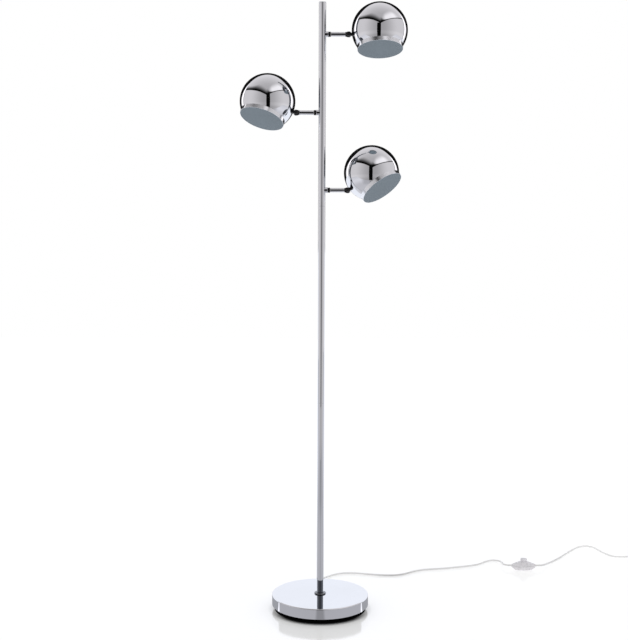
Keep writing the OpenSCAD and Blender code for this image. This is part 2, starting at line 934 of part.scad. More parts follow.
module tongue(i) {
  color("silver")
    head_frame(i)
      difference() {
        union() {
          translate([0, barrel_w / 2, 0])
            rotate([90, 0, 0])
              cylinder(h = barrel_w, r = barrel_r);
          intersection() {
            rod_x(cheek_r + loose_gap, ball_face_x, neck_d);
            difference() {
              rod_x(0, nut_boss_x + 20, 4 * neck_d);
              translate(ball_c)
                sphere(r = ball_r + seat_gap, $fn = 128);
            }
          }
          rod_x(barrel_r - 3, nut_boss_x + nut_boss_l + 2, shank_d);
        }
        translate([0, barrel_w, 0])
          rotate([90, 0, 0])
            cylinder(h = 2 * barrel_w, d = pivot_d + 2 * run_gap);
        rod_x(0, nut_boss_x + 20, lead_bore);
        translate([-2 * barrel_r, -lead_bore / 2, -2 * barrel_r])
          cube([2 * barrel_r + 1, lead_bore, 4 * barrel_r]);
      }
}

// Head

module shade(i) {
  color("silver")
    head_frame(i)
      difference() {
        translate(ball_c)
          difference() {
            union() {
              difference() {
                sphere(r = ball_r, $fn = 128);
                translate([0, 0, -2 * ball_r - mouth_drop + 4])
                  cylinder(h = 2 * ball_r, r = 2 * ball_r);
              }
              translate([0, 0, -mouth_drop])
                cylinder(h = mouth_drop - sqrt(ball_r * ball_r - mouth_r * mouth_r) + 1, r = mouth_r, $fn = 128);
            }
            sphere(r = ball_in_r, $fn = 128);
            translate([0, 0, -mouth_drop - 1])
              cylinder(h = mouth_drop, r = mouth_in_r, $fn = 128);
          }
        rod_x(0, nut_boss_x + 5, shank_d + 2 * run_gap);
      }
}

module holder_bracket(i) {
  strap_x = nut_boss_x + nut_boss_l - strap_t;
  outline = [
    [strap_x, strap_low], [strap_x + strap_t, strap_low],
    [strap_x + strap_t, strap_bend_z], [strap_bend_x + 0.7, strap_top_z],
    [neck_reach + strap_over, strap_top_z], [neck_reach + strap_over, strap_top_z + strap_t],
    [strap_bend_x, strap_top_z + strap_t], [strap_x, strap_bend_z + 0.5]
  ];
  color("gainsboro")
    head_frame(i)
      difference() {
        union() {
          translate([0, strap_w / 2, 0])
            rotate([90, 0, 0])
              linear_extrude(height = strap_w)
                polygon(outline);
          rod_x(nut_boss_x, nut_boss_x + nut_boss_l - strap_t + eps, 2 * nut_boss_r);
        }
        rod_x(0, nut_boss_x + nut_boss_l + 5, shank_d + 2 * seat_gap);
        translate([neck_reach, 0, strap_top_z - 1])
          cylinder(h = strap_t + 2, d = holder_neck_d + 2 * seat_gap);
      }
}

module lamp_holder(i) {
  color("white")
    head_frame(i)
      translate([neck_reach, 0, holder_top])
        difference() {
          union() {
            translate([0, 0, -holder_l])
              cylinder(h = holder_l, d = holder_d);
            translate([0, 0, -eps])
              cylinder(h = holder_neck_l, d = holder_neck_d);
          }
          translate([0, 0, -holder_l - 1])
            cylinder(h = holder_socket_l + 1, d = holder_socket_d);
        }
}

module bulb(i) {
  glass_r = bulb_d / 2;
  color("ivory")
    head_frame(i)
      translate([neck_reach, 0, holder_top - holder_l]) {
        translate([0, 0, -face_gap - eps])
          cylinder(h = bulb_cap_l, d = bulb_cap_d);
        translate([0, 0, glass_r - bulb_l]) {
          sphere(r = glass_r, $fn = 64);
          cylinder(h = bulb_l - glass_r - face_gap, r1 = glass_r * 0.8, r2 = bulb_neck_r);
        }
      }
}

module diffuser(i) {
  color([0.46, 0.5, 0.54])
    head_frame(i)
      translate([neck_reach, 0, neck_drop - mouth_drop]) {
        cylinder(h = diffuser_t, r = diffuser_r, $fn = 128);
        pipe_z(diffuser_t - eps, diffuser_rim_l, diffuser_r, diffuser_r - 1.5);
      }
}

module head_lead(i) {
  low_c = [head_lead_turn_x, 0, head_lead_r];
  top_c = [head_lead_turn_x + 2 * head_lead_r, 0, head_lead_side_z - head_lead_r];
  path = concat(
    [[lead_gap_at_pivot, 0, 0]],
    [for (a = [0 : 15 : 90]) low_c + head_lead_r * [sin(a), 0, -cos(a)]],
    [for (a = [0 : 15 : 90]) top_c + head_lead_r * [-cos(a), 0, sin(a)]],
    [[neck_reach - holder_d / 2 - seat_gap, 0, head_lead_side_z]]
  );
  color("white")
    head_frame(i)
      tube(path, branch_d, 8);
}

base_cover();
base_weight();
bottom_pan();
floor_pad();
pan_screws();
pole_collar();
pole_stud();
stud_nut();
pole_lower();
pole_middle();
pole_upper();
pole_joiners();
pole_cap();
arm_bosses();
swivel_collars();
friction_washers();
retaining_nuts();
terminal_block();
inner_leads();
cord_bush();
cord_to_switch();
cord_to_coil();
cord_coil();
coil_tie();
switch_base();
switch_cover();
switch_button();
switch_spring();
plug_body();
plug_pins();
arm_tube(TOP);  // top_arm_tube
arm_fork(TOP);  // top_arm_fork
pivot_screws(TOP);  // top_pivot_screws
tongue(TOP);  // top_tongue
shade(TOP);  // top_shade
holder_bracket(TOP);  // top_holder_bracket
lamp_holder(TOP);  // top_lamp_holder
bulb(TOP);  // top_bulb
diffuser(TOP);  // top_diffuser
head_lead(TOP);  // top_head_lead
arm_tube(LEFT);  // left_arm_tube
arm_fork(LEFT);  // left_arm_fork
pivot_screws(LEFT);  // left_pivot_screws
tongue(LEFT);  // left_tongue
shade(LEFT);  // left_shade
holder_bracket(LEFT);  // left_holder_bracket
lamp_holder(LEFT);  // left_lamp_holder
bulb(LEFT);  // left_bulb
diffuser(LEFT);  // left_diffuser
head_lead(LEFT);  // left_head_lead
arm_tube(LOW);  // low_arm_tube
arm_fork(LOW);  // low_arm_fork
pivot_screws(LOW);  // low_pivot_screws
tongue(LOW);  // low_tongue
shade(LOW);  // low_shade
holder_bracket(LOW);  // low_holder_bracket
lamp_holder(LOW);  // low_lamp_holder
bulb(LOW);  // low_bulb
diffuser(LOW);  // low_diffuser
head_lead(LOW);  // low_head_lead
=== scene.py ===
# %% [markdown]
# # A chromed floor lamp with three ball spots
# A slim pole stands on a round, heavy base. Three short arms leave the pole, and each one
# carries a ball that turns with its arm and tilts in a knuckle. A light grey lead leaves the
# base at the back, runs over the floor through a foot switch and ends in a plug.
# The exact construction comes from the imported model, so this lesson starts by loading it.
# Everything below is dressed over that frame, in the same place and in metres.

# %% Load the frame
import math
import bmesh
import bpy
from mathutils import Matrix, Vector


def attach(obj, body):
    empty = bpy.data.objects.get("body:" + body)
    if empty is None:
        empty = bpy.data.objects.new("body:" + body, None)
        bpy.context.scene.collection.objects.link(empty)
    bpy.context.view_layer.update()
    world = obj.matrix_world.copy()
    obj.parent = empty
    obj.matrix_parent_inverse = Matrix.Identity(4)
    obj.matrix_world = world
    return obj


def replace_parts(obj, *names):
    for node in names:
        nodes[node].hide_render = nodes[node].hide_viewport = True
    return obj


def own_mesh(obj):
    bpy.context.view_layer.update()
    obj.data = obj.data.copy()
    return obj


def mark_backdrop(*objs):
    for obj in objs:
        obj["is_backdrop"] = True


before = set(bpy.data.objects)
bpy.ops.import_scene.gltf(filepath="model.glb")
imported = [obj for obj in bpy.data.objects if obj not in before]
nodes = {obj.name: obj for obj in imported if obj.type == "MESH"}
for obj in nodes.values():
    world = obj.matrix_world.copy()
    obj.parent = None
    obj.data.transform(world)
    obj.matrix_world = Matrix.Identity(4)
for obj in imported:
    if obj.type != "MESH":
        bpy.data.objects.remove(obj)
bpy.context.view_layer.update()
scene = bpy.context.scene
scene.view_settings.view_transform = "Standard"

# %% [markdown]
# ## The camera
# The picture was taken with a long lens from three metres away, a little above the lamp's
# middle and looking slightly down. The lens and the place were worked out from the balls,
# the base and the pole, so the same camera shows the same picture here.

# %% Set the camera
MM = 0.001
LENS = 70
FILM_WIDTH = 36
CAMERA_SPOT = (-18.5, -3097.8, 1073.5)
LOOK_DOWN = math.radians(5.84)
ROLL = math.radians(0.2085)


def mm(*values):
    return Vector(values) * MM


camera_data = bpy.data.cameras.new("camera")
camera_data.sensor_fit = "HORIZONTAL"
camera_data.sensor_width = FILM_WIDTH
camera_data.lens = LENS
camera_data.clip_end = 50
camera = bpy.data.objects.new("camera", camera_data)
scene.collection.objects.link(camera)
scene.camera = camera
camera.matrix_world = (
    Matrix.Translation(mm(*CAMERA_SPOT))
    @ Matrix.Rotation(math.pi / 2 - LOOK_DOWN, 4, "X")
    @ Matrix.Rotation(ROLL, 4, "Z")
)
print("camera at", tuple(round(c, 3) for c in camera.matrix_world.translation))

# %% [markdown]
# ## Helpers for materials
# Every finish is made of shader nodes, so it can be repainted later without any picture.
# A small helper adds a node, fills its sockets and links what is linked, which keeps each
# material down to the few lines that say what it looks like. More helpers do sums on values
# and let one value fade into another.


# %% A helper for shader nodes
def node(tree, kind, **sockets):
    """A new node; a socket's value is a number, a colour or another node's output."""
    made = tree.nodes.new(kind)
    for name, value in sockets.items():
        if hasattr(made, name):
            setattr(made, name, value)
            continue
        key = int(name[1:]) if name[0] == "_" else name.replace("_", " ")
        if isinstance(value, bpy.types.NodeSocket):
            tree.links.new(value, made.inputs[key])
        else:
            made.inputs[key].default_value = value
    return made


def grey(value, blue=0.0):
    return (value, value * (1 + blue / 2), value * (1 + blue), 1)


def new_material(name, **shader):
    """A material with its main shader, ready for more nodes."""
    made = bpy.data.materials.new(name)
    made.use_nodes = True
    tree = made.node_tree
    tree.nodes.clear()
    main = node(tree, "ShaderNodeBsdfPrincipled", **shader)
    out = node(tree, "ShaderNodeOutputMaterial")
    tree.links.new(main.outputs[0], out.inputs["Surface"])
    return made, tree, main


def speckle(tree, scale, low, high, detail=4.0):
    """A noise in the object's own space, spread between two values."""
    place = node(tree, "ShaderNodeTexCoord")
    noise = node(
        tree, "ShaderNodeTexNoise", Vector=place.outputs["Object"], Scale=scale, Detail=detail
    )
    spread = node(tree, "ShaderNodeMapRange", _0=noise.outputs["Fac"], _3=low, _4=high)
    return spread.outputs[0]


def tint(tree, factor, first, second):
    """A colour between two colours."""
    mixed = node(tree, "ShaderNodeMix", data_type="RGBA")
    tree.links.new(factor, mixed.inputs["Factor"])
    mixed.inputs[6].default_value = first
    mixed.inputs[7].default_value = second
    return mixed.outputs[2]


def patchy(tree, main, first, second, patches, sheen, low, high, detail=4.0):
    """Patches of colour between two colours, and of roughness between low and high."""
    tree.links.new(tint(tree, speckle(tree, patches, 0, 1, detail), first, second),
                   main.inputs["Base Color"])
    tree.links.new(speckle(tree, sheen, low, high), main.inputs["Roughness"])


def grain(tree, main, scale, distance, strength=1.0, detail=3.0):
    """A fine relief on the main shader."""
    bump = node(
        tree, "ShaderNodeBump",
        Height=speckle(tree, scale, 0, 1, detail), Strength=strength, Distance=distance,
    )
    tree.links.new(bump.outputs[0], main.inputs["Normal"])


# %% Nodes that measure and mix
def calc(tree, operation, first, second=0.0):
    """One sum on two values."""
    return node(tree, "ShaderNodeMath", operation=operation, _0=first, _1=second).outputs[0]


def ramp(tree, value, start, end, low=0.0, high=1.0):
    """A smooth change from low to high while the value goes from start to end."""
    if start > end:
        start, end, low, high = end, start, high, low
    made = node(
        tree, "ShaderNodeMapRange", interpolation_type="SMOOTHSTEP",
        _0=value, _1=start, _2=end, _3=low, _4=high,
    )
    return made.outputs[0]


def blend(tree, factor, first, second):
    """A value between two values."""
    made = node(tree, "ShaderNodeMix", data_type="FLOAT")
    for socket, value in zip((made.inputs[0], made.inputs[2], made.inputs[3]),
                             (factor, first, second)):
        if isinstance(value, bpy.types.NodeSocket):
            tree.links.new(value, socket)
        else:
            socket.default_value = value
    return made.outputs[0]


# %% [markdown]
# ## Chrome
# Polished chrome has almost no colour of its own: it shows the room. It still isn't perfect.
# Wiping leaves faint patches that blur the reflection a little, so the roughness comes from a
# noise, and the colour is a very light, slightly blue grey. The lips of the balls are a
# little duller. The knuckles and the swivel collars are plated darker, so they get a black
# nickel of their own, and the collar on the base has a smoked plate between the two.


# %% Chrome and the darker plates
def plate(name, first, second, patches, sheen, low, high):
    """A metal plate with faint patches in its colour and its polish."""
    made, tree, main = new_material(name, Metallic=1.0)
    patchy(tree, main, first, second, patches, sheen, low, high)
    return made


chrome = plate("polished_chrome", grey(0.84, 0.02), grey(0.9, 0.03), 9, 22, 0.015, 0.045)
dark_plate = plate("black_nickel", grey(0.03), grey(0.07), 60, 90, 0.16, 0.28)
satin = plate("satin_chrome", grey(0.84, 0.02), grey(0.9, 0.03), 40, 60, 0.17, 0.23)
smoked = plate("smoked_chrome", grey(0.22, 0.06), grey(0.28, 0.08), 30, 80, 0.03, 0.08)
print("chrome materials:", chrome.name, satin.name, smoked.name, dark_plate.name)

# %% [markdown]
# ## The plain metals inside
# The weight is raw cast iron, the screws and brackets are zinc plated steel and the turned
# parts that carry the wires are brass. None of them shows in the picture, but anyone who
# takes the lamp apart finds them, so each one gets its own grain and sheen.

# %% Cast iron, steel, brass and nickel
iron, tree, main = new_material("cast_iron", Metallic=0.6)
patchy(tree, main, grey(0.05), grey(0.12), 140, 220, 0.55, 0.8, detail=6)
grain(tree, main, 420, 0.0006)


def plain_metal(name, first, second, rough):
    """A plated or turned metal with a fine grain."""
    made, tree, main = new_material(name, Metallic=1.0)
    patchy(tree, main, first, second, 160, 260, rough - 0.06, rough + 0.08)
    grain(tree, main, 900, 0.00004, 0.5)
    return made


steel = plain_metal("zinc_steel", grey(0.48, 0.03), grey(0.6, 0.05), 0.3)
brass = plain_metal("turned_brass", (0.62, 0.46, 0.2, 1), (0.74, 0.58, 0.3, 1), 0.24)
nickel = plain_metal("plug_nickel", grey(0.62, -0.04), grey(0.74, -0.04), 0.22)
print("inside metals:", iron.name, steel.name, brass.name, nickel.name)

# %% [markdown]
# ## Plastics and rubber
# Moulded plastic has a soft gloss, a very fine skin and a colour that is never quite even.
# One helper makes them all; the pale see-through plastic of the lead, the switch and the plug
# also lets some light into its body, which is what makes it look milky. The foot switch shows
# its works as vague darker clouds through the housing, so its colour is the least even. The
# lead has painted light and shade along it: painted shade makes it greyer just past the base
# and just past the switch, and painted light makes it almost white far out.


# %% A helper for moulded plastic
def plastic(name, first, second, rough, scale=180, relief=0.00003, soft=0.0):
    """Moulded plastic between two colours; soft is how far light gets into it."""
    made, tree, main = new_material(name)
    patchy(tree, main, first, second, scale, scale * 2, rough - 0.05, rough + 0.07)
    if soft:
        main.inputs["Subsurface Weight"].default_value = soft
        main.inputs["Subsurface Scale"].default_value = 0.003
        main.inputs["Subsurface Radius"].default_value = (1, 1, 1)
    grain(tree, main, scale * 6, relief, 0.6)
    return made


CLOUDY = (0.66, 0.64, 0.67, 1)
MISTY = (0.92, 0.9, 0.93, 1)
CLEAR = (1, 0.98, 1, 1)
black_plastic = plastic("black_plastic", grey(0.0006), grey(0.0015), 0.85)
black_plastic.node_tree.nodes["Principled BSDF"].inputs["Specular IOR Level"].default_value = 0.02
rubber = plastic("rubber_pad", grey(0.014), grey(0.025), 0.75, 120, 0.0001)
nylon = plastic("white_nylon", grey(0.68, -0.04), grey(0.78, -0.04), 0.45)
wire_skin = plastic("wire_insulation", grey(0.66), grey(0.76), 0.4)
lead_skin = plastic("milky_lead", grey(0.6, -0.02), grey(0.7, -0.02), 0.3, 60, 0.00002, 0.3)
switch_skin = plastic("milky_housing", CLOUDY, CLEAR, 0.26, 90, 0.00002, 0.3)
button_skin = plastic("button_plastic", CLOUDY, MISTY, 0.3, 90, 0.00002, 0.2)
plug_skin = plastic("plug_plastic", grey(0.66, 0.02), grey(0.78, 0.02), 0.28, 70, 0.00002, 0.3)
tie_skin = plastic("tie_plastic", grey(0.06), grey(0.09), 0.5)
white_plastic = plastic("holder_plastic", grey(0.76, -0.03), grey(0.84, -0.03), 0.35)
opal = plastic("opal_bulb", grey(0.8, -0.05), grey(0.88, -0.04), 0.3, 40, 0.00001, 0.3)
print("plastics made")

# %% The lead's painted light and painted shade
LEAD_PAINTED_LIGHT_START = (0.16, 0.1, 0.68, 0.93)
LEAD_PAINTED_LIGHT_END = (0.76, 0.84, 0.0, 0.25)
PAINTED_SHADE_BY_BASE = ((0.14, 0.2), (0.31, 0.22, 0.0, 0.5))
PAINTED_SHADE_BY_SWITCH = ((0.52, 0.56), (0.8, 0.68, 0.0, 0.22))
tree = lead_skin.node_tree
shader = tree.nodes["Principled BSDF"]
place = node(tree, "ShaderNodeTexCoord").outputs["Object"]
along = node(tree, "ShaderNodeSeparateXYZ", Vector=place).outputs[0]
# Painted light and shade along the lead: lighter at its start and far out, greyer past the base and
# round the switch
clear = calc(tree, "ADD", ramp(tree, along, *LEAD_PAINTED_LIGHT_START), ramp(tree, along, *LEAD_PAINTED_LIGHT_END))
for fade_in, fade_out in (PAINTED_SHADE_BY_BASE, PAINTED_SHADE_BY_SWITCH):
    painted_shade = calc(tree, "MULTIPLY", ramp(tree, along, *fade_in), ramp(tree, along, *fade_out))
    clear = calc(tree, "SUBTRACT", clear, painted_shade)
# The painted light mixes the lead's own colour towards near white
pale = node(tree, "ShaderNodeMix", data_type="RGBA", Factor=clear)
tree.links.new(shader.inputs["Base Color"].links[0].from_socket, pale.inputs[6])
pale.inputs[7].default_value = grey(0.95, -0.01)
tree.links.new(pale.outputs[2], shader.inputs["Base Color"])
print("lead material:", lead_skin.name)

# %% [markdown]
# ## The frosted discs
# The mouth of each ball is closed by a flat disc that looks like a matt blue-grey sheet when
# the lamp is off. Frosting is never quite even: a slow cloudiness and a fine tooth keep it
# from looking like a cut-out.

# %% Frosted disc
frosted, tree, main = new_material("frosted_disc", Roughness=0.55)
main.inputs["Specular IOR Level"].default_value = 0.2
tree.links.new(
    tint(tree, speckle(tree, 16, 0.2, 0.8, 2), (0.15, 0.185, 0.215, 1), (0.19, 0.235, 0.275, 1)),
    main.inputs["Base Color"],
)
grain(tree, main, 1400, 0.00003, 0.5)
print("disc material:", frosted.name)

# %% [markdown]
# ## Dress the pieces that keep their exact solids
# Many pieces are already right as they come from the construction: nuts, washers, screws, the
# cast weight and all that is inside the balls. They only change their material. A list of
# finish and pieces is easier to read than thirty separate steps.

# %% Materials of the solids
ARMS = ("top", "left", "low")
KEPT = {
    iron: ["base_weight"],
    black_plastic: ["bottom_pan"],
    rubber: ["floor_pad"],
    steel: ["pan_screws", "stud_nut"] + [arm + "_holder_bracket" for arm in ARMS],
    brass: ["pole_stud", "pole_joiners", "retaining_nuts"],
    nylon: ["friction_washers", "terminal_block"],
    wire_skin: ["inner_leads"] + [arm + "_head_lead" for arm in ARMS],
    tie_skin: ["coil_tie"],
    dark_plate: [arm + part for arm in ARMS for part in ("_tongue", "_pivot_screws")],
    white_plastic: [arm + "_lamp_holder" for arm in ARMS],
    opal: [arm + "_bulb" for arm in ARMS],
}


def dress(name, material):
    """Gives a construction solid its material and leaves its shape alone."""
    mesh = nodes[name].data
    for k in range(len(mesh.materials)):
        mesh.materials[k] = material
    if not mesh.materials:
        mesh.materials.append(material)


for material, names in KEPT.items():
    for name in names:
        dress(name, material)
print(sum(len(names) for names in KEPT.values()), "solids dressed")

# %% [markdown]
# ## Where the arms and heads are
# Every arm has its own axes: X runs along its tube from the middle of the pole. A head has
# axes of its own too, with the tilt pivot as their origin. With these two places a piece can
# be modelled once, straight and upright, and then put on all three arms.

# %% Sizes and places
BASE_TOP = 40
SECTION = 503
POLE_TOP = BASE_TOP + 3 * SECTION
POLE_R = 9
POLE_BORE_R = 7.8
TOP_ARM_DROP = 77
ARM_STEP = 193
KNUCKLE_X = 66
SIDES = {"top": 1, "left": -1, "low": 1}
TILTS = {"top": 1, "left": 16, "low": 32}
TURNS = {"top": 17, "left": 23, "low": 27}
ALONG_X = Matrix.Rotation(math.pi / 2, 4, "Y")
ALONG_Y = Matrix.Rotation(-math.pi / 2, 4, "X")


def arm_place(arm):
    """The place of an arm's own axes."""
    height = POLE_TOP - TOP_ARM_DROP - ARM_STEP * ARMS.index(arm)
    return (
        Matrix.Translation(mm(0, 0, height))
        @ Matrix.Rotation(0 if SIDES[arm] > 0 else math.pi, 4, "Z")
        @ Matrix.Rotation(math.radians(-SIDES[arm] * TURNS[arm]), 4, "X")
    )


def head_place(arm):
    """The place of a head's own axes, with the tilt pivot at their origin."""
    tilt = Matrix.Rotation(math.radians(-TILTS[arm]), 4, "Y")
    return arm_place(arm) @ Matrix.Translation(mm(KNUCKLE_X, 0, 0)) @ tilt


for arm in ARMS:
    print(arm, "pivot at", tuple(round(c, 3) for c in head_place(arm).translation))

# %% [markdown]
# ## Turned pieces
# Most of this lamp is turned on a lathe or spun from sheet, so its pieces are made the same
# way here: an outline of corners is spun round an axis, and the edges that a real lathe would
# break get a small rounding. Those roundings are what catches the light on polished metal.


# %% A lathe
def lathe(outline, rounds=(), steps=96, closed=True):
    """Spins an outline of (radius, height) corners round Z and rounds some of its edges."""
    bm = bmesh.new()
    corners = [bm.verts.new((radius * MM, 0, height * MM)) for radius, height in outline]
    followers = corners[1:] + corners[:1] if closed else corners[1:]
    for a, b in zip(corners, followers):
        bm.edges.new((a, b))
    bmesh.ops.spin(
        bm, geom=bm.verts[:] + bm.edges[:], axis=(0, 0, 1), angle=2 * math.pi, steps=steps,
        use_merge=True,
    )
    bmesh.ops.remove_doubles(bm, verts=bm.verts[:], dist=1e-6)
    bmesh.ops.recalc_face_normals(bm, faces=bm.faces[:])
    for corner, size in rounds:
        radius, height = outline[corner]
        rim = [
            e for e in bm.edges
            if all(abs(v.co.xy.length - radius * MM) < 1e-6 and abs(v.co.z - height * MM) < 1e-6
                   for v in e.verts)
        ]
        bmesh.ops.bevel(
            bm, geom=rim, offset=size * MM, offset_type="OFFSET", segments=4, profile=0.5,
            affect="EDGES", material=-1, clamp_overlap=True,
        )
    return bm


# %% Helpers that finish a piece
def gather(parts):
    """One bmesh from pairs of a bmesh and its place."""
    whole = bmesh.new()
    for part, place in parts:
        bmesh.ops.transform(part, matrix=place, verts=part.verts)
        sheet = bpy.data.meshes.new("part")
        part.to_mesh(sheet)
        part.free()
        whole.from_mesh(sheet)
        bpy.data.meshes.remove(sheet)
    return whole


def piece(bm, name, body, material, stands_for=(), place=None, sharp=28, even=True):
    """Makes a named piece of a bmesh and lets it ride on its body."""
    if place is not None:
        bmesh.ops.transform(bm, matrix=place, verts=bm.verts)
    bmesh.ops.recalc_face_normals(bm, faces=bm.faces[:])
    mesh = bpy.data.meshes.new(name)
    bm.to_mesh(mesh)
    bm.free()
    mesh.materials.append(material)
    mesh.polygons.foreach_set("use_smooth", [True] * len(mesh.polygons))
    mesh.set_sharp_from_angle(angle=math.radians(sharp))
    made = bpy.data.objects.new(name, mesh)
    scene.collection.objects.link(made)
    if even:
        made.modifiers.new("even shading", "WEIGHTED_NORMAL").keep_sharp = True
    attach(made, body)
    if stands_for:
        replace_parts(made, *stands_for)
    return made


# %% [markdown]
# ## The base
# The cover is spun from thin sheet: a flat mirror on top, a small rounded shoulder and a
# straight wall. Its hem is rolled in a little. The collar at the foot of the pole is a turned
# ring with a well rounded shoulder, and its smoked plate makes it a dark ring.

# %% Base cover and collar
BASE_R = 125
BASE_BORE_R = 5.3
COVER_LOW = 13
COVER_WALL = 1.2
COLLAR_R = 15.25
COLLAR_BORE_R = 9.1
COLLAR_H = 3.5
cover = lathe(
    [(BASE_BORE_R, BASE_TOP - COVER_WALL), (BASE_BORE_R, BASE_TOP), (BASE_R, BASE_TOP),
     (BASE_R, COVER_LOW), (BASE_R - COVER_WALL, COVER_LOW),
     (BASE_R - COVER_WALL, BASE_TOP - COVER_WALL)],
    rounds=[(5, 1.8), (2, 3), (3, 0.5), (4, 0.4)], steps=192,
)
piece(cover, "spun_base_cover", "stand", chrome, ["base_cover"])
collar = lathe(
    [(COLLAR_BORE_R, BASE_TOP), (COLLAR_R, BASE_TOP), (COLLAR_R, BASE_TOP + COLLAR_H),
     (COLLAR_BORE_R, BASE_TOP + COLLAR_H)],
    rounds=[(2, 2.2), (3, 2.2), (1, 0.3)],
)
piece(collar, "turned_pole_collar", "stand", smoked, ["pole_collar"])
print("base made")

# %% [markdown]
# ## The pole
# Three equal tubes are screwed together. Each tube has a small chamfer at its ends, and two
# chamfers that meet make the fine line that shows the joint. The cap closes the top with a
# softly rounded rim.

# %% Pole sections and cap
CAP_H = 2
CAP_PLUG_R = 7.7
CAP_PLUG_BORE_R = 6.6
CAP_PLUG_L = 8
for k, name in enumerate(("lower", "middle", "upper")):
    low, high = BASE_TOP + k * SECTION, BASE_TOP + (k + 1) * SECTION
    tube = lathe(
        [(POLE_BORE_R, low), (POLE_R, low), (POLE_R, high), (POLE_BORE_R, high)],
        rounds=[(1, 0.45), (2, 0.45)], steps=72,
    )
    piece(tube, "chromed_pole_" + name, "stand", chrome, ["pole_" + name])
cap = lathe(
    [(0, POLE_TOP + CAP_H), (POLE_R, POLE_TOP + CAP_H), (POLE_R, POLE_TOP), (CAP_PLUG_R, POLE_TOP),
     (CAP_PLUG_R, POLE_TOP - CAP_PLUG_L), (CAP_PLUG_BORE_R, POLE_TOP - CAP_PLUG_L),
     (CAP_PLUG_BORE_R, POLE_TOP), (0, POLE_TOP)],
    rounds=[(1, 1.1), (2, 0.3)], steps=72, closed=False,
)
piece(cap, "turned_pole_cap", "stand", chrome, ["pole_cap"])
print("pole made")

# %% [markdown]
# ## The swivels and arms
# A short boss stands out of the pole, and a darker collar turns with a fine groove beside it.
# The arm's tube follows. All three are turned pieces that lie along the arm.

# %% Bosses, swivel collars and arm tubes
BOSS = [(2.2, 5.2), (7, 5.2), (7, 14.5), (3.5, 14.5), (3.5, 27.5), (2.2, 27.5)]
SWIVEL = [
    (3.6, 14.7), (6.2, 14.7), (6.5, 15.1), (6.5, 16.5), (6.05, 16.8), (6.05, 17.2),
    (6.5, 17.5), (6.5, 20), (6.2, 20.5), (3.6, 20.5),
]
ARM_TUBE = [(4.4, 21), (5.5, 21), (5.5, 57), (4.4, 57)]
bosses = gather([(lathe(BOSS, [(2, 0.9)], 64), arm_place(arm) @ ALONG_X) for arm in ARMS])
piece(bosses, "turned_arm_bosses", "stand", chrome, ["arm_bosses"])
collars = gather([(lathe(SWIVEL, steps=64), arm_place(arm) @ ALONG_X) for arm in ARMS])
piece(collars, "grooved_swivel_collars", "stand", dark_plate, ["swivel_collars"])
for arm in ARMS:
    piece(
        lathe(ARM_TUBE, [(1, 0.6), (2, 0.4)], 64), arm + "_chromed_arm", arm + "_arm", chrome,
        [arm + "_arm_tube"], arm_place(arm) @ ALONG_X,
    )
print("arms made")

# %% [markdown]
# ## The forks
# A plug in the tube's end carries two rounded cheeks. The head tilts between them on two
# screws. A cheek is the skin over a few circles, so it is round at both ends, and its outer
# face is domed a little.


# %% A skin over rings
def skin(rings, round_size, steps=32):
    """The skin stretched over rings of (x, radius, height), with its sharp edges rounded."""
    bm = bmesh.new()
    for x, radius, height in rings:
        bmesh.ops.create_circle(
            bm, segments=steps, radius=radius * MM, matrix=Matrix.Translation(mm(x, 0, height))
        )
    hull = bmesh.ops.convex_hull(bm, input=bm.verts[:], use_existing_faces=False)
    spare = {
        g for key in ("geom_interior", "geom_unused") for g in hull[key]
        if isinstance(g, bmesh.types.BMVert)
    }
    bmesh.ops.delete(bm, geom=list(spare), context="VERTS")
    loose = [e for e in bm.edges if not e.link_faces]
    bmesh.ops.delete(bm, geom=loose, context="EDGES")
    bmesh.ops.dissolve_limit(
        bm, angle_limit=math.radians(2), verts=bm.verts[:], edges=bm.edges[:]
    )
    keen = [e for e in bm.edges if e.is_manifold and e.calc_face_angle() > math.radians(30)]
    bmesh.ops.bevel(
        bm, geom=keen, offset=round_size * MM, offset_type="OFFSET", segments=3, profile=0.5,
        affect="EDGES", material=-1, clamp_overlap=True,
    )
    bmesh.ops.remove_doubles(bm, verts=bm.verts[:], dist=1e-6)
    return bm


# %% Forks
FORK_PLUG = [(2.2, 50), (4.3, 50), (4.3, 57), (5.8, 57), (5.8, 59.5), (2.2, 59.5)]
CHEEK_IN, CHEEK_EDGE, CHEEK_OUT = 4.12, 4.9, 6.7
CHEEK_DOME = 2
for arm in ARMS:
    parts = [(lathe(FORK_PLUG, [(3, 0.8)], 48), ALONG_X)]
    for side in (1, -1):
        ends = [
            (x, radius - less, side * y) for x, radius in ((63, 5.5), (KNUCKLE_X, 6))
            for y, less in ((CHEEK_IN, 0), (CHEEK_EDGE, 0), (CHEEK_OUT, CHEEK_DOME))
        ]
        parts.append((skin(ends, 0.6, 40), ALONG_Y))
    piece(
        gather(parts), arm + "_rounded_fork", arm + "_arm", dark_plate,
        [arm + "_arm_fork"], arm_place(arm),
    )
print("forks made")

# %% [markdown]
# ## The balls
# A ball is spun from one sheet: most of a sphere, opened by a plane, with a short straight lip
# at the mouth. The sheet's thickness goes inwards, so the outside keeps its true radius. The
# normals of a polished ball have to be as smooth as they can be, because every flat spot
# shows in the reflection. The lip gets a duller finish than the ball. The disc in the mouth
# is a shallow turned dish.

# %% Ball shades and their discs
BALL_R = 70
BALL_WALL = 0.8
MOUTH_R = 57
MOUTH_DROP = 50.5
NECK_DROP = 10
NECK_REACH = 7.7 + math.sqrt(BALL_R ** 2 - NECK_DROP ** 2)
DISC = [(0, 0), (55.9, 0), (55.9, 8), (54.5, 8), (54.5, 2), (0, 2)]


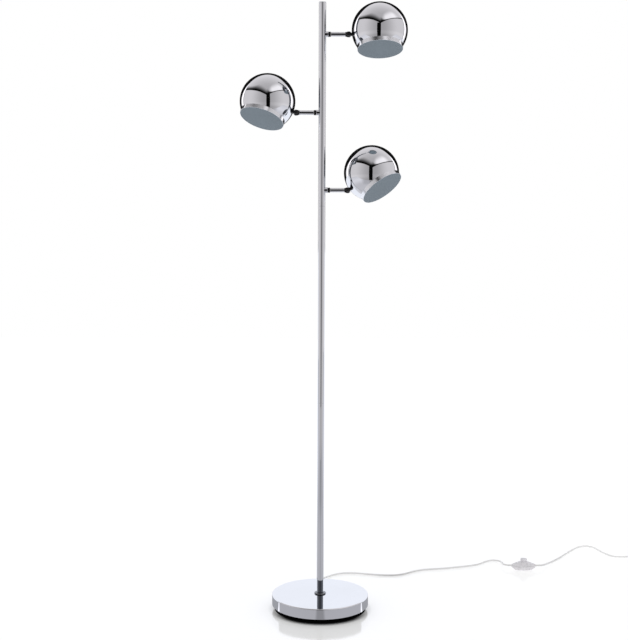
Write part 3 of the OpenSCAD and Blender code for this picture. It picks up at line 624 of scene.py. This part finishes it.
def spun_ball():
    """A thin open ball with a lip, round the Z axis."""
    bm = bmesh.new()
    bmesh.ops.create_uvsphere(bm, u_segments=160, v_segments=96, radius=BALL_R * MM)
    cut = -math.sqrt(BALL_R ** 2 - MOUTH_R ** 2) * MM
    bmesh.ops.bisect_plane(
        bm, geom=bm.verts[:] + bm.edges[:] + bm.faces[:], plane_co=(0, 0, cut),
        plane_no=(0, 0, -1), clear_outer=True,
    )
    rim = [e for e in bm.edges if e.is_boundary]
    lip = bmesh.ops.extrude_edge_only(bm, edges=rim)["geom"]
    for part in lip:
        if isinstance(part, bmesh.types.BMVert):
            part.co.z = -MOUTH_DROP * MM
        elif isinstance(part, bmesh.types.BMFace):
            part.material_index = 1
    bmesh.ops.recalc_face_normals(bm, faces=bm.faces[:])
    bmesh.ops.solidify(bm, geom=bm.faces[:], thickness=BALL_WALL * MM)
    return bm


for arm in ARMS:
    centre = head_place(arm) @ Matrix.Translation(mm(NECK_REACH, 0, NECK_DROP))
    ball = piece(
        spun_ball(), arm + "_spun_shade", arm + "_head", chrome,
        [arm + "_shade"], centre, even=False,
    )
    ball.data.materials.append(satin)
    dish = lathe(DISC, [(1, 0.5), (2, 0.2)], 128, closed=False)
    piece(
        dish, arm + "_frosted_disc", arm + "_head", frosted,
        [arm + "_diffuser"], centre @ Matrix.Translation(mm(0, 0, -MOUTH_DROP)),
    )
    print(arm, "ball:", len(ball.data.polygons), "faces")

# %% [markdown]
# ## The strain relief
# The lead leaves the base through a ribbed rubber-like sleeve that gets thinner towards its
# end. Ribs and grooves let it bend evenly. They are simply corners in the turned outline.

# %% Ribbed sleeve
SLEEVE_L = 30
RIBS = 7
RIB_STEP = 3.6
LEAD_EXIT_H = 20
sleeve = [(2.6, -5), (4.5, -5), (4.5, 0.05), (6, 0.05), (6, 1.5), (4.4, 1.5)]
for k in range(RIBS):
    start = 3.5 + k * RIB_STEP
    rib = 4.4 - 1.0 * start / SLEEVE_L
    sleeve += [(rib, start), (rib - 0.6, start + 0.4), (rib - 0.6, start + 1.3), (rib, start + 1.7)]
sleeve += [(3.4, SLEEVE_L), (2.6, SLEEVE_L)]
piece(
    lathe(sleeve, [(4, 0.4)], 48), "ribbed_lead_sleeve", "stand", lead_skin,
    ["cord_bush"], Matrix.Translation(mm(0, BASE_R, LEAD_EXIT_H)) @ ALONG_Y,
)
print("sleeve with", len(sleeve), "corners")

# %% [markdown]
# ## The foot switch
# The switch is a small boat of milky plastic in two halves with a round button on top. Each
# half is a skin stretched over a few rings: narrow ones at the tips and wide ones in the
# middle. Rounding the skin's sharp edges afterwards gives the soft look of a moulding. Under
# the button stands a spring: a wire ring that climbs as it is spun.


# %% Switch halves and button
SWITCH_PLACE = Matrix.Translation(mm(589, 338, 0))
TIP_X = 29
lower = skin(
    [(0, 10, 0), (-20.5, 4, 0), (20.5, 4, 0), (0, 13.6, 4), (-27, 4.6, 5), (27, 4.6, 5),
     (0, 15, 8), (-TIP_X, 5.5, 8), (TIP_X, 5.5, 8), (0, 15, 11.9), (-TIP_X, 5.5, 11.9),
     (TIP_X, 5.5, 11.9)], 0.5,
)
switch_low = piece(
    lower, "switch_lower_half", "stand", switch_skin, ["switch_base"], SWITCH_PLACE
)
upper = skin(
    [(0, 14.9, 12.1), (-TIP_X, 5.4, 12.1), (TIP_X, 5.4, 12.1), (0, 14.9, 15.5),
     (-TIP_X, 5.2, 15.5), (TIP_X, 5.2, 15.5), (-24, 4.6, 18.4), (24, 4.6, 18.4),
     (0, 14, 19.5), (0, 12.4, 22.8), (0, 10.8, 24)], 0.5,
)
switch_top = piece(
    upper, "switch_upper_half", "stand", switch_skin, ["switch_cover"], SWITCH_PLACE
)
BUTTON = [
    (0, 31.2), (5, 31.35), (7.4, 32), (9.5, 32), (9.5, 28.6), (8.5, 28), (8.5, 21.9),
    (9.5, 21.9), (9.5, 18.9), (6.2, 18.9), (6.2, 25.9), (0, 25.9),
]
switch_push = piece(
    lathe(BUTTON, [(3, 1), (2, 0.6)], 64, closed=False), "switch_push_button", "button",
    button_skin, ["switch_button"], SWITCH_PLACE,
)
print("switch made")

# %% The spring under the button
SPRING_R = 4.5
SPRING_WIRE = 1
SPRING_TURNS = 5
SPRING_LOW, SPRING_HIGH = 2, 25.9
spring_bed = Matrix.Translation(mm(SPRING_R, 0, SPRING_LOW + SPRING_WIRE / 2))
spring_steps = SPRING_TURNS * 32
spring_climb = (SPRING_HIGH - SPRING_LOW - SPRING_WIRE) / spring_steps
spring = bmesh.new()
bmesh.ops.create_circle(
    spring, cap_ends=True, segments=12, radius=SPRING_WIRE / 2 * MM,
    matrix=spring_bed @ Matrix.Rotation(math.pi / 2, 4, "X"),
)
bmesh.ops.spin(
    spring, geom=spring.verts[:] + spring.edges[:] + spring.faces[:], axis=(0, 0, 1),
    dvec=mm(0, 0, spring_climb), angle=2 * math.pi * SPRING_TURNS, steps=spring_steps,
)
switch_coil = piece(
    spring, "switch_return_spring", "stand", steel, ["switch_spring"], SWITCH_PLACE,
    even=False,
)
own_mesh(switch_coil)

# %% [markdown]
# ## The plug
# The plug lies beside the coil, outside the picture. Its body is a block with generous
# roundings, its strain relief is turned with ribs, and each pin is turned with a dome.

# %% Plug body and pins
PLUG_PLACE = Matrix.Translation(mm(1011.75, 427, 8.6)) @ Matrix.Rotation(math.pi / 2, 4, "X")
RELIEF_L = 32
RELIEF_RIBS = 6
RELIEF_STEP = 4.6
PLUG_SIZE = (35, 17.2, 36)
PLUG_ROUND = 4.5
PIN_X = 9.5
relief = [(2.6, 0), (3.2, 0)]
for k in range(RELIEF_RIBS):
    start = 3 + k * RELIEF_STEP
    ridge = 3.2 + 1.8 * start / RELIEF_L
    relief += [(ridge, start), (ridge - 0.6, start + 0.5), (ridge - 0.6, start + 1.6),
               (ridge + 0.1, start + 2.1)]
relief += [(5, RELIEF_L + 1), (2.6, RELIEF_L + 1)]
block = bmesh.new()
bmesh.ops.create_cube(block, size=MM, matrix=Matrix.Diagonal((*PLUG_SIZE, 1)))
bmesh.ops.bevel(
    block, geom=block.edges[:], offset=PLUG_ROUND * MM, offset_type="OFFSET", segments=5,
    profile=0.5, affect="EDGES", material=-1,
)
plug = gather([
    (lathe(relief, [], 48), Matrix.Identity(4)),
    (block, Matrix.Translation(mm(0, 0, RELIEF_L + PLUG_SIZE[2] / 2))),
])
plug_block = piece(plug, "moulded_plug", "stand", plug_skin, ["plug_body"], PLUG_PLACE)
PIN = [(0, 62), (2, 62), (2, 87), (0, 87)]
pins = gather([
    (lathe(PIN, [(2, 1.2)], 32, closed=False), Matrix.Translation(mm(x, 0, 0)))
    for x in (-PIN_X, PIN_X)
])
plug_prongs = piece(pins, "turned_plug_pins", "stand", nickel, ["plug_pins"], PLUG_PLACE)
print("plug made")

# %% [markdown]
# ## The free lead
# The lead is one flexible thing, so it is a curve with a round section, not a chain of
# cylinders. Its points are those of the construction: out of the base, down to the floor,
# through loose bends to the foot switch, on over the floor, and past the picture's edge into
# a small tied coil with the plug. A coil is wound by a formula: inwards in the lower layer,
# then up one layer and outwards again.

# %% The route of the lead, in millimetres
LEAD = 5.0
COIL_GAP = 0.5
COIL_R = 27.5
COIL_TURNS = 2.5
COIL_CENTRE = (976, 432)
PITCH = LEAD + COIL_GAP
COIL_LOW = LEAD / 2 + 0.6
COIL_OUT = COIL_R + COIL_TURNS * PITCH / 2
COIL_START = (COIL_CENTRE[0] - LEAD, COIL_CENTRE[1] + COIL_OUT, COIL_LOW)
COIL_END = (COIL_CENTRE[0] + COIL_OUT + 0.25 * PITCH, COIL_CENTRE[1] - LEAD, COIL_LOW + PITCH)

TO_SWITCH = [
    (0, 155, 20), (0, 160, 20), (0, 168, 20), (0.5, 184, 18.6), (2.5, 202, 14.4),
    (6.5, 220, 9.4), (13, 238, 5.2), (23, 256, 2.9), (37, 271.5, 2.5), (55, 284.5, 2.5),
    (78, 291.8, 2.5), (103, 290, 2.5), (129, 283, 2.5), (155, 276, 2.5), (183, 271, 2.5),
    (210, 271, 2.5), (234, 279, 2.5), (253.5, 294, 2.5), (272.5, 311, 2.5),
    (295.5, 323, 2.5), (323.5, 330, 2.5), (351.5, 335, 2.5), (380, 343, 2.5),
    (407, 352, 2.5), (433, 361, 2.5), (455, 371, 2.5), (467, 380.3, 2.5),
    (477.5, 391, 2.5), (487.5, 402.5, 2.5), (497.4, 412.4, 2.5), (504, 416.2, 2.5),
    (511.5, 417.5, 2.5), (519, 416.2, 2.6), (525.6, 412.4, 2.9), (530.6, 406.5, 3.4),
    (533.2, 399.3, 4.1), (533.6, 390, 5.2), (533.5, 380, 6.5), (533.2, 370, 7.9),
    (533, 360, 9.3), (534.3, 352.5, 10.3), (538.1, 345.9, 11.1), (544, 340.9, 11.6),
    (551.2, 338.3, 11.9), (555, 338, 12), (558, 338, 12), (561, 338, 12),
]
TO_COIL = [
    (617, 338, 12), (622, 338, 12), (628, 338, 12), (636, 339.5, 11.7), (643.5, 344, 10.9),
    (649.5, 351, 9.7), (655.5, 360.5, 8.2), (663, 373, 6.2), (672, 387.5, 4.2),
    (683, 403, 2.8), (697, 421.5, 2.5), (711, 440, 2.5), (723.5, 458, 2.5),
    (739, 482, 2.5), (756, 507, 2.5), (773.5, 531, 2.5), (790, 552, 2.5),
    (804, 563.5, 2.5), (818, 567.5, 2.5), (831, 563, 2.5), (840, 551, 2.5),
    (847, 532, 2.5), (854, 505, 2.5), (866, 475, 2.5), (883, 457, 2.5), (906, 454.5, 2.6),
    (926, 460, 2.9), (943, 465, 3.1), (COIL_START[0] - 14, COIL_START[1], COIL_LOW),
    (COIL_START[0] - 7, COIL_START[1], COIL_LOW),
]


def coil_point(turns):
    """The lead's place in the coil after some turns, clockwise seen from above."""
    radius = COIL_OUT - PITCH * (COIL_TURNS - abs(turns - COIL_TURNS))
    climb = min(max((turns - COIL_TURNS + 0.25) / 0.5, 0), 1)
    angle = 2 * math.pi * turns
    return (
        COIL_CENTRE[0] + radius * math.sin(angle),
        COIL_CENTRE[1] + radius * math.cos(angle),
        COIL_LOW + PITCH * climb,
    )


COIL_STEPS = 24
COIL = [coil_point(k / COIL_STEPS) for k in range(round((2 * COIL_TURNS + 0.25) * COIL_STEPS) + 1)]
print("route points:", len(TO_SWITCH), len(TO_COIL), len(COIL))

# %% Smooth the route and draw the lead
SMOOTHINGS = 6


def smooth_route(points):
    """The points with three more between each two, on one smooth line."""
    points = [Vector(p) for p in points]
    fine = []
    for k in range(len(points) - 1):
        a, b, c, d = (points[min(max(k + s, 0), len(points) - 1)] for s in (-1, 0, 1, 2))
        for t in (0, 0.25, 0.5, 0.75):
            fine.append(
                0.5 * (2 * b + (c - a) * t + (2 * a - 5 * b + 4 * c - d) * t * t
                       + (3 * b - a - 3 * c + d) * t ** 3)
            )
    fine.append(points[-1])
    for _ in range(SMOOTHINGS):
        middle = [(a + 2 * b + c) / 4 for a, b, c in zip(fine, fine[1:], fine[2:])]
        fine = [fine[0]] + middle + [fine[-1]]
    return fine


def route_length(points):
    return sum((b - a).length for a, b in zip(points, points[1:]))


def draw_lead(name, points, stands_for):
    """A round lead along points in millimetres."""
    curve = bpy.data.curves.new(name, "CURVE")
    curve.dimensions = "3D"
    curve.bevel_depth = LEAD / 2 * MM
    curve.bevel_resolution = 4
    curve.use_fill_caps = True
    line = curve.splines.new("POLY")
    line.points.add(len(points) - 1)
    for spot, p in zip(line.points, points):
        spot.co = (*(p * MM), 1)
    line.use_smooth = True
    curve.materials.append(lead_skin)
    made = bpy.data.objects.new(name, curve)
    scene.collection.objects.link(made)
    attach(made, "stand")
    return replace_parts(made, *stands_for)


first_run = smooth_route(TO_SWITCH)
second_run = smooth_route(TO_COIL + [COIL_START])[:-1]
second_run += [Vector(p) for p in [COIL_START] + COIL + [COIL_END]]
lead_one = draw_lead("lead_to_switch", first_run, ["cord_to_switch"])
lead_two = draw_lead("lead_to_plug", second_run, ["cord_to_coil", "cord_coil"])
print("lead lengths in mm:", round(route_length(first_run)), round(route_length(second_run)))

# %% The lead is done
print("lead drawn")

# %% [markdown]
# ## The studio in the chrome
# Chrome is only as good as the room it shows. The balls show a pale wall on each side of the
# camera, a dark post straight ahead, a roof that fades from black to pale above the walls, a
# dark line and a white strip where the walls end at the sides, and darkness behind. The world
# is painted by direction: the angle from straight ahead, the angle round the lamp and the
# angle above the floor. The camera itself sees plain white. Whatever is mirrored twice comes
# out much darker, which gives the joints of the lamp their depth. Most sizes below are fades:
# where a fade starts and ends, and the two values it goes between if they aren't 0 and 1.


# %% Angles in degrees
DEG = 180 / math.pi


def angle_from_front(tree, to_back):
    """The angle in degrees between a direction and straight ahead."""
    radians = calc(tree, "ARCCOSINE", calc(tree, "MULTIPLY", to_back, -1.0))
    return calc(tree, "MULTIPLY", radians, DEG)


# %% Measure the direction
world = bpy.data.worlds.new("studio")
scene.world = world
world.use_nodes = True
sky = world.node_tree
sky.nodes.clear()
way = node(sky, "ShaderNodeTexCoord").outputs["Generated"]
to_side, to_back, to_top = node(sky, "ShaderNodeSeparateXYZ", Vector=way).outputs
away = angle_from_front(sky, to_back)
forward = calc(sky, "MULTIPLY", to_back, -1.0)
round_angle = calc(sky, "MULTIPLY", calc(sky, "ARCTAN2", to_side, forward), DEG)
side_angle = calc(sky, "ABSOLUTE", round_angle)
rise = calc(sky, "MULTIPLY", calc(sky, "ARCSINE", to_top), DEG)
print("direction measured")

# %% Walls and roof
WALL_END = 115.0
WALL_PEAK = 55.0
WALL_SLOPE = 0.73
LEAN_AHEAD = 1.08
LEAN_BEHIND = 0.8
WALL_FADE = (5.0, 80.0, 0.38, 0.66)
WALL_FOOT = (-4.0, -10.0, 1.0, 1.1)
WALL_UNDER = (-14.0, -27.0, 1.0, 0.8)
WALL_EDGE = (-1.0, 1.0)
ROOF_FADE = (50.0, 150.0, 0.45, 0.82)
LEFT_STRETCH = (60.0, 120.0, 1.0, 2.2)
LEFT_OPENING = (4.0, 29.0)
RIGHT_STRETCH = (0.0, 48.0, 1.0, 8.0)
RIGHT_OPENING = (10.0, 32.0)
LEFT_TO_RIGHT = (-12.0, 14.0)
STREAK_START = (4.0, 30.0)
STREAK_END = (105.0, 72.0)
STREAK_TOP = (34.0, 12.0, 0.0, 0.5)
SECOND_MIRROR = (2.4, 2.6)
SECOND_LIGHT = 0.16
past_peak = calc(sky, "SUBTRACT", side_angle, WALL_PEAK)
leaning = calc(
    sky, "MINIMUM", calc(sky, "MULTIPLY", past_peak, LEAN_BEHIND / DEG),
    calc(sky, "MULTIPLY", past_peak, LEAN_AHEAD / DEG),
)
wall_slope = calc(sky, "MULTIPLY", calc(sky, "COSINE", leaning), WALL_SLOPE)
wall_top = calc(sky, "MULTIPLY", calc(sky, "ARCTANGENT", wall_slope), DEG)
above = calc(sky, "SUBTRACT", rise, wall_top)
wall = ramp(sky, side_angle, *WALL_FADE)
wall = calc(sky, "MULTIPLY", wall, ramp(sky, rise, *WALL_FOOT))
wall = calc(sky, "MULTIPLY", wall, ramp(sky, rise, *WALL_UNDER))
left_above = calc(sky, "MULTIPLY", above, ramp(sky, side_angle, *LEFT_STRETCH))
right_above = calc(sky, "MULTIPLY", above, ramp(sky, side_angle, *RIGHT_STRETCH))
opening = blend(
    sky, ramp(sky, round_angle, *LEFT_TO_RIGHT), ramp(sky, left_above, *LEFT_OPENING),
    ramp(sky, right_above, *RIGHT_OPENING),
)
streak = calc(
    sky, "MULTIPLY", ramp(sky, round_angle, *STREAK_START), ramp(sky, round_angle, *STREAK_END)
)
streak = calc(sky, "MULTIPLY", streak, ramp(sky, above, *STREAK_TOP))
roof = calc(sky, "ADD", ramp(sky, away, *ROOF_FADE), streak)
roof = calc(sky, "MULTIPLY", roof, opening)
room = blend(sky, ramp(sky, above, *WALL_EDGE), wall, roof)
path = node(sky, "ShaderNodeLightPath")
twice = ramp(sky, path.outputs["Ray Depth"], *SECOND_MIRROR)
room = calc(sky, "MULTIPLY", room, ramp(sky, twice, 0.0, 1.0, 1.0, SECOND_LIGHT))
print("walls and roof painted")

# %% Side strips and the dark behind
LINE = (WALL_END, WALL_END + 1)
LINE_TOP = (30.0, 22.0)
LINE_LIGHT = 0.1
STRIP_START = 118.5
STRIP_EDGE = (STRIP_START - 0.5, STRIP_START + 0.5)
STRIP_TOP = (42.0, 24.0)
STRIP_LIGHT = (STRIP_START + 4, STRIP_START + 8, 1.7, 1.0)
DARK_START = 135.2
DARK_EDGE = (DARK_START - 1, DARK_START + 1)
DARK_LIGHT = 0.006
CORNER_PULL = 13.0
OVER_ONE = 1.02
ONCE_TINT = (1.0, 0.972, 1.01, 1)
TWICE_TINT = (0.92, 0.96, 1.12, 1)
line = calc(sky, "MULTIPLY", ramp(sky, away, *LINE), ramp(sky, rise, *LINE_TOP))
room = blend(sky, line, room, LINE_LIGHT)
behind_wall = calc(sky, "MULTIPLY", ramp(sky, away, *STRIP_EDGE), ramp(sky, rise, *STRIP_TOP))
room = blend(sky, behind_wall, room, ramp(sky, away, *STRIP_LIGHT))
raised = calc(sky, "MAXIMUM", to_top, 0.0)
across = calc(sky, "MULTIPLY", calc(sky, "MULTIPLY", to_side, raised), 2.0)
open_side = calc(sky, "SUBTRACT", OVER_ONE, calc(sky, "MULTIPLY", to_back, to_back))
corner = calc(sky, "DIVIDE", across, open_side)
corner = calc(sky, "MULTIPLY", calc(sky, "MULTIPLY", corner, corner), CORNER_PULL)
dark_away = calc(sky, "ADD", away, corner)
room = blend(sky, ramp(sky, dark_away, *DARK_EDGE), room, DARK_LIGHT)
cast = tint(sky, twice, ONCE_TINT, TWICE_TINT)
room = node(sky, "ShaderNodeVectorMath", operation="MULTIPLY", _0=room, _1=cast).outputs[0]
mirror_sky = node(sky, "ShaderNodeBackground", Color=room, Strength=1.0)
print("studio painted")

# %% Plain light for all that isn't a mirror
EVEN_LIGHT = 0.72
white_sky = node(sky, "ShaderNodeBackground", Color=grey(1), Strength=1.0)
even_sky = node(sky, "ShaderNodeBackground", Color=grey(1), Strength=EVEN_LIGHT)
for_mirrors = node(
    sky, "ShaderNodeMixShader", Fac=path.outputs["Is Glossy Ray"],
    _1=even_sky.outputs[0], _2=mirror_sky.outputs[0],
)
straight = calc(
    sky, "MAXIMUM", path.outputs["Is Camera Ray"], path.outputs["Is Transmission Ray"]
)
seen_sky = node(
    sky, "ShaderNodeMixShader", Fac=straight, _1=for_mirrors.outputs[0], _2=white_sky.outputs[0]
)
node(sky, "ShaderNodeOutputWorld", Surface=seen_sky.outputs[0])
print("world ready")

# %% [markdown]
# ## The floor
# The floor is white and slightly glossy, with a soft shadow right round the base. It takes
# over half of its brightness from light, which keeps the cast shadow, and the rest from
# itself, which keeps it white. Close round the base both halves are darkened by the distance
# from the lamp's axis, most in front: that is a painted contact shadow. Near the lamp it also
# mirrors a little. In the chrome it has to look like the floor of the painted room: grey near
# the lamp, white behind the line where the walls end. That line is the same angle from
# straight ahead as on the walls, measured from the height of the balls. Straight ahead it
# holds a painted reflection of the dark post. Beside the base it holds a painted highlight line
# with a painted shade behind it, which the rim of the base mirrors near its ends.


# %% Stage pieces
def stage_sheet(name, centre, spread, material, upright=False, mirrors_only=True):
    """A flat sheet of the studio; upright ones face the lamp along Y."""
    bm = bmesh.new()
    bmesh.ops.create_grid(bm, x_segments=1, y_segments=1, size=1)
    tilt = Matrix.Rotation(math.pi / 2, 4, "X") if upright else Matrix.Identity(4)
    scale = Matrix.Diagonal((spread[0], spread[1], 1, 1))
    bmesh.ops.transform(bm, matrix=Matrix.Translation(centre) @ tilt @ scale, verts=bm.verts)
    mesh = bpy.data.meshes.new(name)
    bm.to_mesh(mesh)
    bm.free()
    mesh.materials.append(material)
    made = bpy.data.objects.new(name, mesh)
    scene.collection.objects.link(made)
    if mirrors_only:
        made.visible_camera = False
        made.visible_diffuse = False
        made.visible_shadow = False
        made.visible_transmission = False
    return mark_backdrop(made)


def empty_material(name):
    """A material without nodes, and its tree."""
    made = bpy.data.materials.new(name)
    made.use_nodes = True
    made.node_tree.nodes.clear()
    return made, made.node_tree


# %% Floor
PAINTED_SHADOW_FRONT = (0.1, 0.75, 0.7, 0.0)
PAINTED_SHADOW_EDGE = (0.115, 0.139)
FLOOR_LIT = 0.8
FLOOR_GLOW = 0.455
POLISH_FADE = (0.2, 1.2, 0.3, 0.0)
POLISH_ROUGH = 0.11
floor_skin, tree = empty_material("studio_floor")
spot = node(tree, "ShaderNodeTexCoord").outputs["Object"]
flat = node(tree, "ShaderNodeVectorMath", operation="MULTIPLY", _0=spot, _1=(1, 1, 0)).outputs[0]
spot_x, spot_y = node(tree, "ShaderNodeSeparateXYZ", Vector=spot).outputs[:2]
near = node(tree, "ShaderNodeVectorMath", operation="LENGTH", _0=flat).outputs["Value"]
safe_near = calc(tree, "MAXIMUM", near, 0.01)
ahead = calc(tree, "DIVIDE", calc(tree, "MULTIPLY", spot_y, -1.0), safe_near)
# Painted contact shadow: the floor darkens close round the base, deepest in front
painted_shadow_depth = ramp(tree, ahead, *PAINTED_SHADOW_FRONT)
painted_contact_shadow = ramp(tree, near, *PAINTED_SHADOW_EDGE, painted_shadow_depth, 1.0)
# The lit part and the glow both carry the painted contact shadow
lit = node(tree, "ShaderNodeBsdfDiffuse", Color=calc(tree, "MULTIPLY", painted_contact_shadow, FLOOR_LIT))
glow = node(
    tree, "ShaderNodeEmission", Color=grey(1), Strength=calc(tree, "MULTIPLY", painted_contact_shadow, FLOOR_GLOW)
)
both = node(tree, "ShaderNodeAddShader", _0=lit.outputs[0], _1=glow.outputs[0])
polish = node(tree, "ShaderNodeBsdfGlossy", Color=grey(1), Roughness=POLISH_ROUGH)
camera_floor = node(
    tree, "ShaderNodeMixShader", Fac=ramp(tree, near, *POLISH_FADE),
    _1=both.outputs[0], _2=polish.outputs[0],
)
print("floor for the camera made")

# %% The floor that mirrors see
BALL_HEIGHT = 1.2
NEAR_LEVEL = (0.13, 0.6, 0.6, 0.66)
FAR_LEVEL = (0.9, 2.3, 0.0, 0.28)
FRONT_SPAN = (0.6, 0.9)
FRONT_START = (0.8, 1.2)
FRONT_LEVEL = 0.54
PAINTED_POST_REFLECTION = (0.07, 0.16, 0.66, 1.0)
RIM_LINE_AT = math.radians(57.5)
RIM_LINE_WAY = 2 * RIM_LINE_AT - math.pi / 2
PAINTED_RIM_HIGHLIGHT = (-0.004, -0.002, 0.0, 1.3)
PAINTED_RIM_SHADE = (0.006, 0.009, 0.0, 0.87)
RIM_REACH = (0.3, 0.24)
LINE_LEVEL = 0.05
FLOOR_STRIP = (STRIP_START - 1, STRIP_START)
STRIP_LEVEL = 0.97
FLOOR_TINT = (0.96, 0.955, 1.03, 1)
SHEEN_IOR = 2.1
SHEEN_ROUGH = 0.12
from_ball = node(
    tree, "ShaderNodeVectorMath", operation="SUBTRACT", _0=spot, _1=(0, 0, BALL_HEIGHT)
)
ray = node(tree, "ShaderNodeVectorMath", operation="NORMALIZE", _0=from_ball.outputs[0])
ray_back = node(tree, "ShaderNodeSeparateXYZ", Vector=ray.outputs[0]).outputs[1]
floor_away = angle_from_front(tree, ray_back)
level = calc(tree, "ADD", ramp(tree, near, *NEAR_LEVEL), ramp(tree, near, *FAR_LEVEL))
in_front = calc(
    tree, "MULTIPLY", ramp(tree, ahead, *FRONT_SPAN), ramp(tree, near, *FRONT_START)
)
level = blend(tree, in_front, level, FRONT_LEVEL)
# Painted reflection of the dark post: the floor that mirrors see is darker straight ahead
safe_y = calc(tree, "MINIMUM", spot_y, -0.01)
aside = calc(tree, "ABSOLUTE", calc(tree, "DIVIDE", spot_x, safe_y))
level = calc(tree, "MULTIPLY", level, ramp(tree, aside, *PAINTED_POST_REFLECTION))
# A painted highlight line with a painted shade behind it, beside the base, for the base's rim to
# mirror near its ends
out_x = calc(tree, "MULTIPLY", calc(tree, "ABSOLUTE", spot_x), math.sin(RIM_LINE_WAY))
back_y = calc(tree, "MULTIPLY", spot_y, math.cos(RIM_LINE_WAY))
reach = BASE_R * MM * math.sin(RIM_LINE_AT)
past_line = calc(tree, "ADD", back_y, calc(tree, "SUBTRACT", reach, out_x))
beside = ramp(tree, near, *RIM_REACH)
for fade, change in ((PAINTED_RIM_HIGHLIGHT, "ADD"), (PAINTED_RIM_SHADE, "SUBTRACT")):
    amount = calc(tree, "MULTIPLY", ramp(tree, past_line, *fade), beside)
    level = calc(tree, "MULTIPLY", level, calc(tree, change, 1.0, amount))
level = blend(tree, ramp(tree, floor_away, *LINE), level, LINE_LEVEL)
level = blend(tree, ramp(tree, floor_away, *FLOOR_STRIP), level, STRIP_LEVEL)
shown = node(tree, "ShaderNodeEmission", Color=FLOOR_TINT, Strength=level)
sheen = node(tree, "ShaderNodeBsdfGlossy", Color=grey(1), Roughness=SHEEN_ROUGH)
glance = node(tree, "ShaderNodeFresnel", IOR=SHEEN_IOR).outputs[0]
mirror_floor = node(
    tree, "ShaderNodeMixShader", Fac=glance, _1=shown.outputs[0], _2=sheen.outputs[0]
)
floor_path = node(tree, "ShaderNodeLightPath")
seen = node(
    tree, "ShaderNodeMixShader", Fac=floor_path.outputs["Is Glossy Ray"],
    _1=camera_floor.outputs[0], _2=mirror_floor.outputs[0],
)
node(tree, "ShaderNodeOutputMaterial", Surface=seen.outputs[0])
stage_sheet("floor", (0.2, 2.1, -0.0003), (5, 3.9), floor_skin, mirrors_only=False)
print("floor made")

# %% Dark post ahead and white boards behind
POST_BLACK = grey(0.002)
BOARD_WHITE = (0.93, 0.955, 1.04, 1)


def shining(name, colour):
    """A sheet that shines evenly."""
    made, tree = empty_material(name)
    shine = node(tree, "ShaderNodeEmission", Color=colour, Strength=1.0)
    node(tree, "ShaderNodeOutputMaterial", Surface=shine.outputs[0])
    return made


studio_black = shining("studio_black", POST_BLACK)
stage_sheet("dark_post", (-0.015, -1.45, 1.19), (0.2, 0.91), studio_black, upright=True)
studio_white = shining("studio_white", BOARD_WHITE)
stage_sheet("white_board", (0, 1.5, 0.425), (3, 0.425), studio_white, upright=True)
stage_sheet("near_board", (0, 0.6, 0.4), (1.4, 0.4), studio_white, upright=True)
print("studio sheets made")
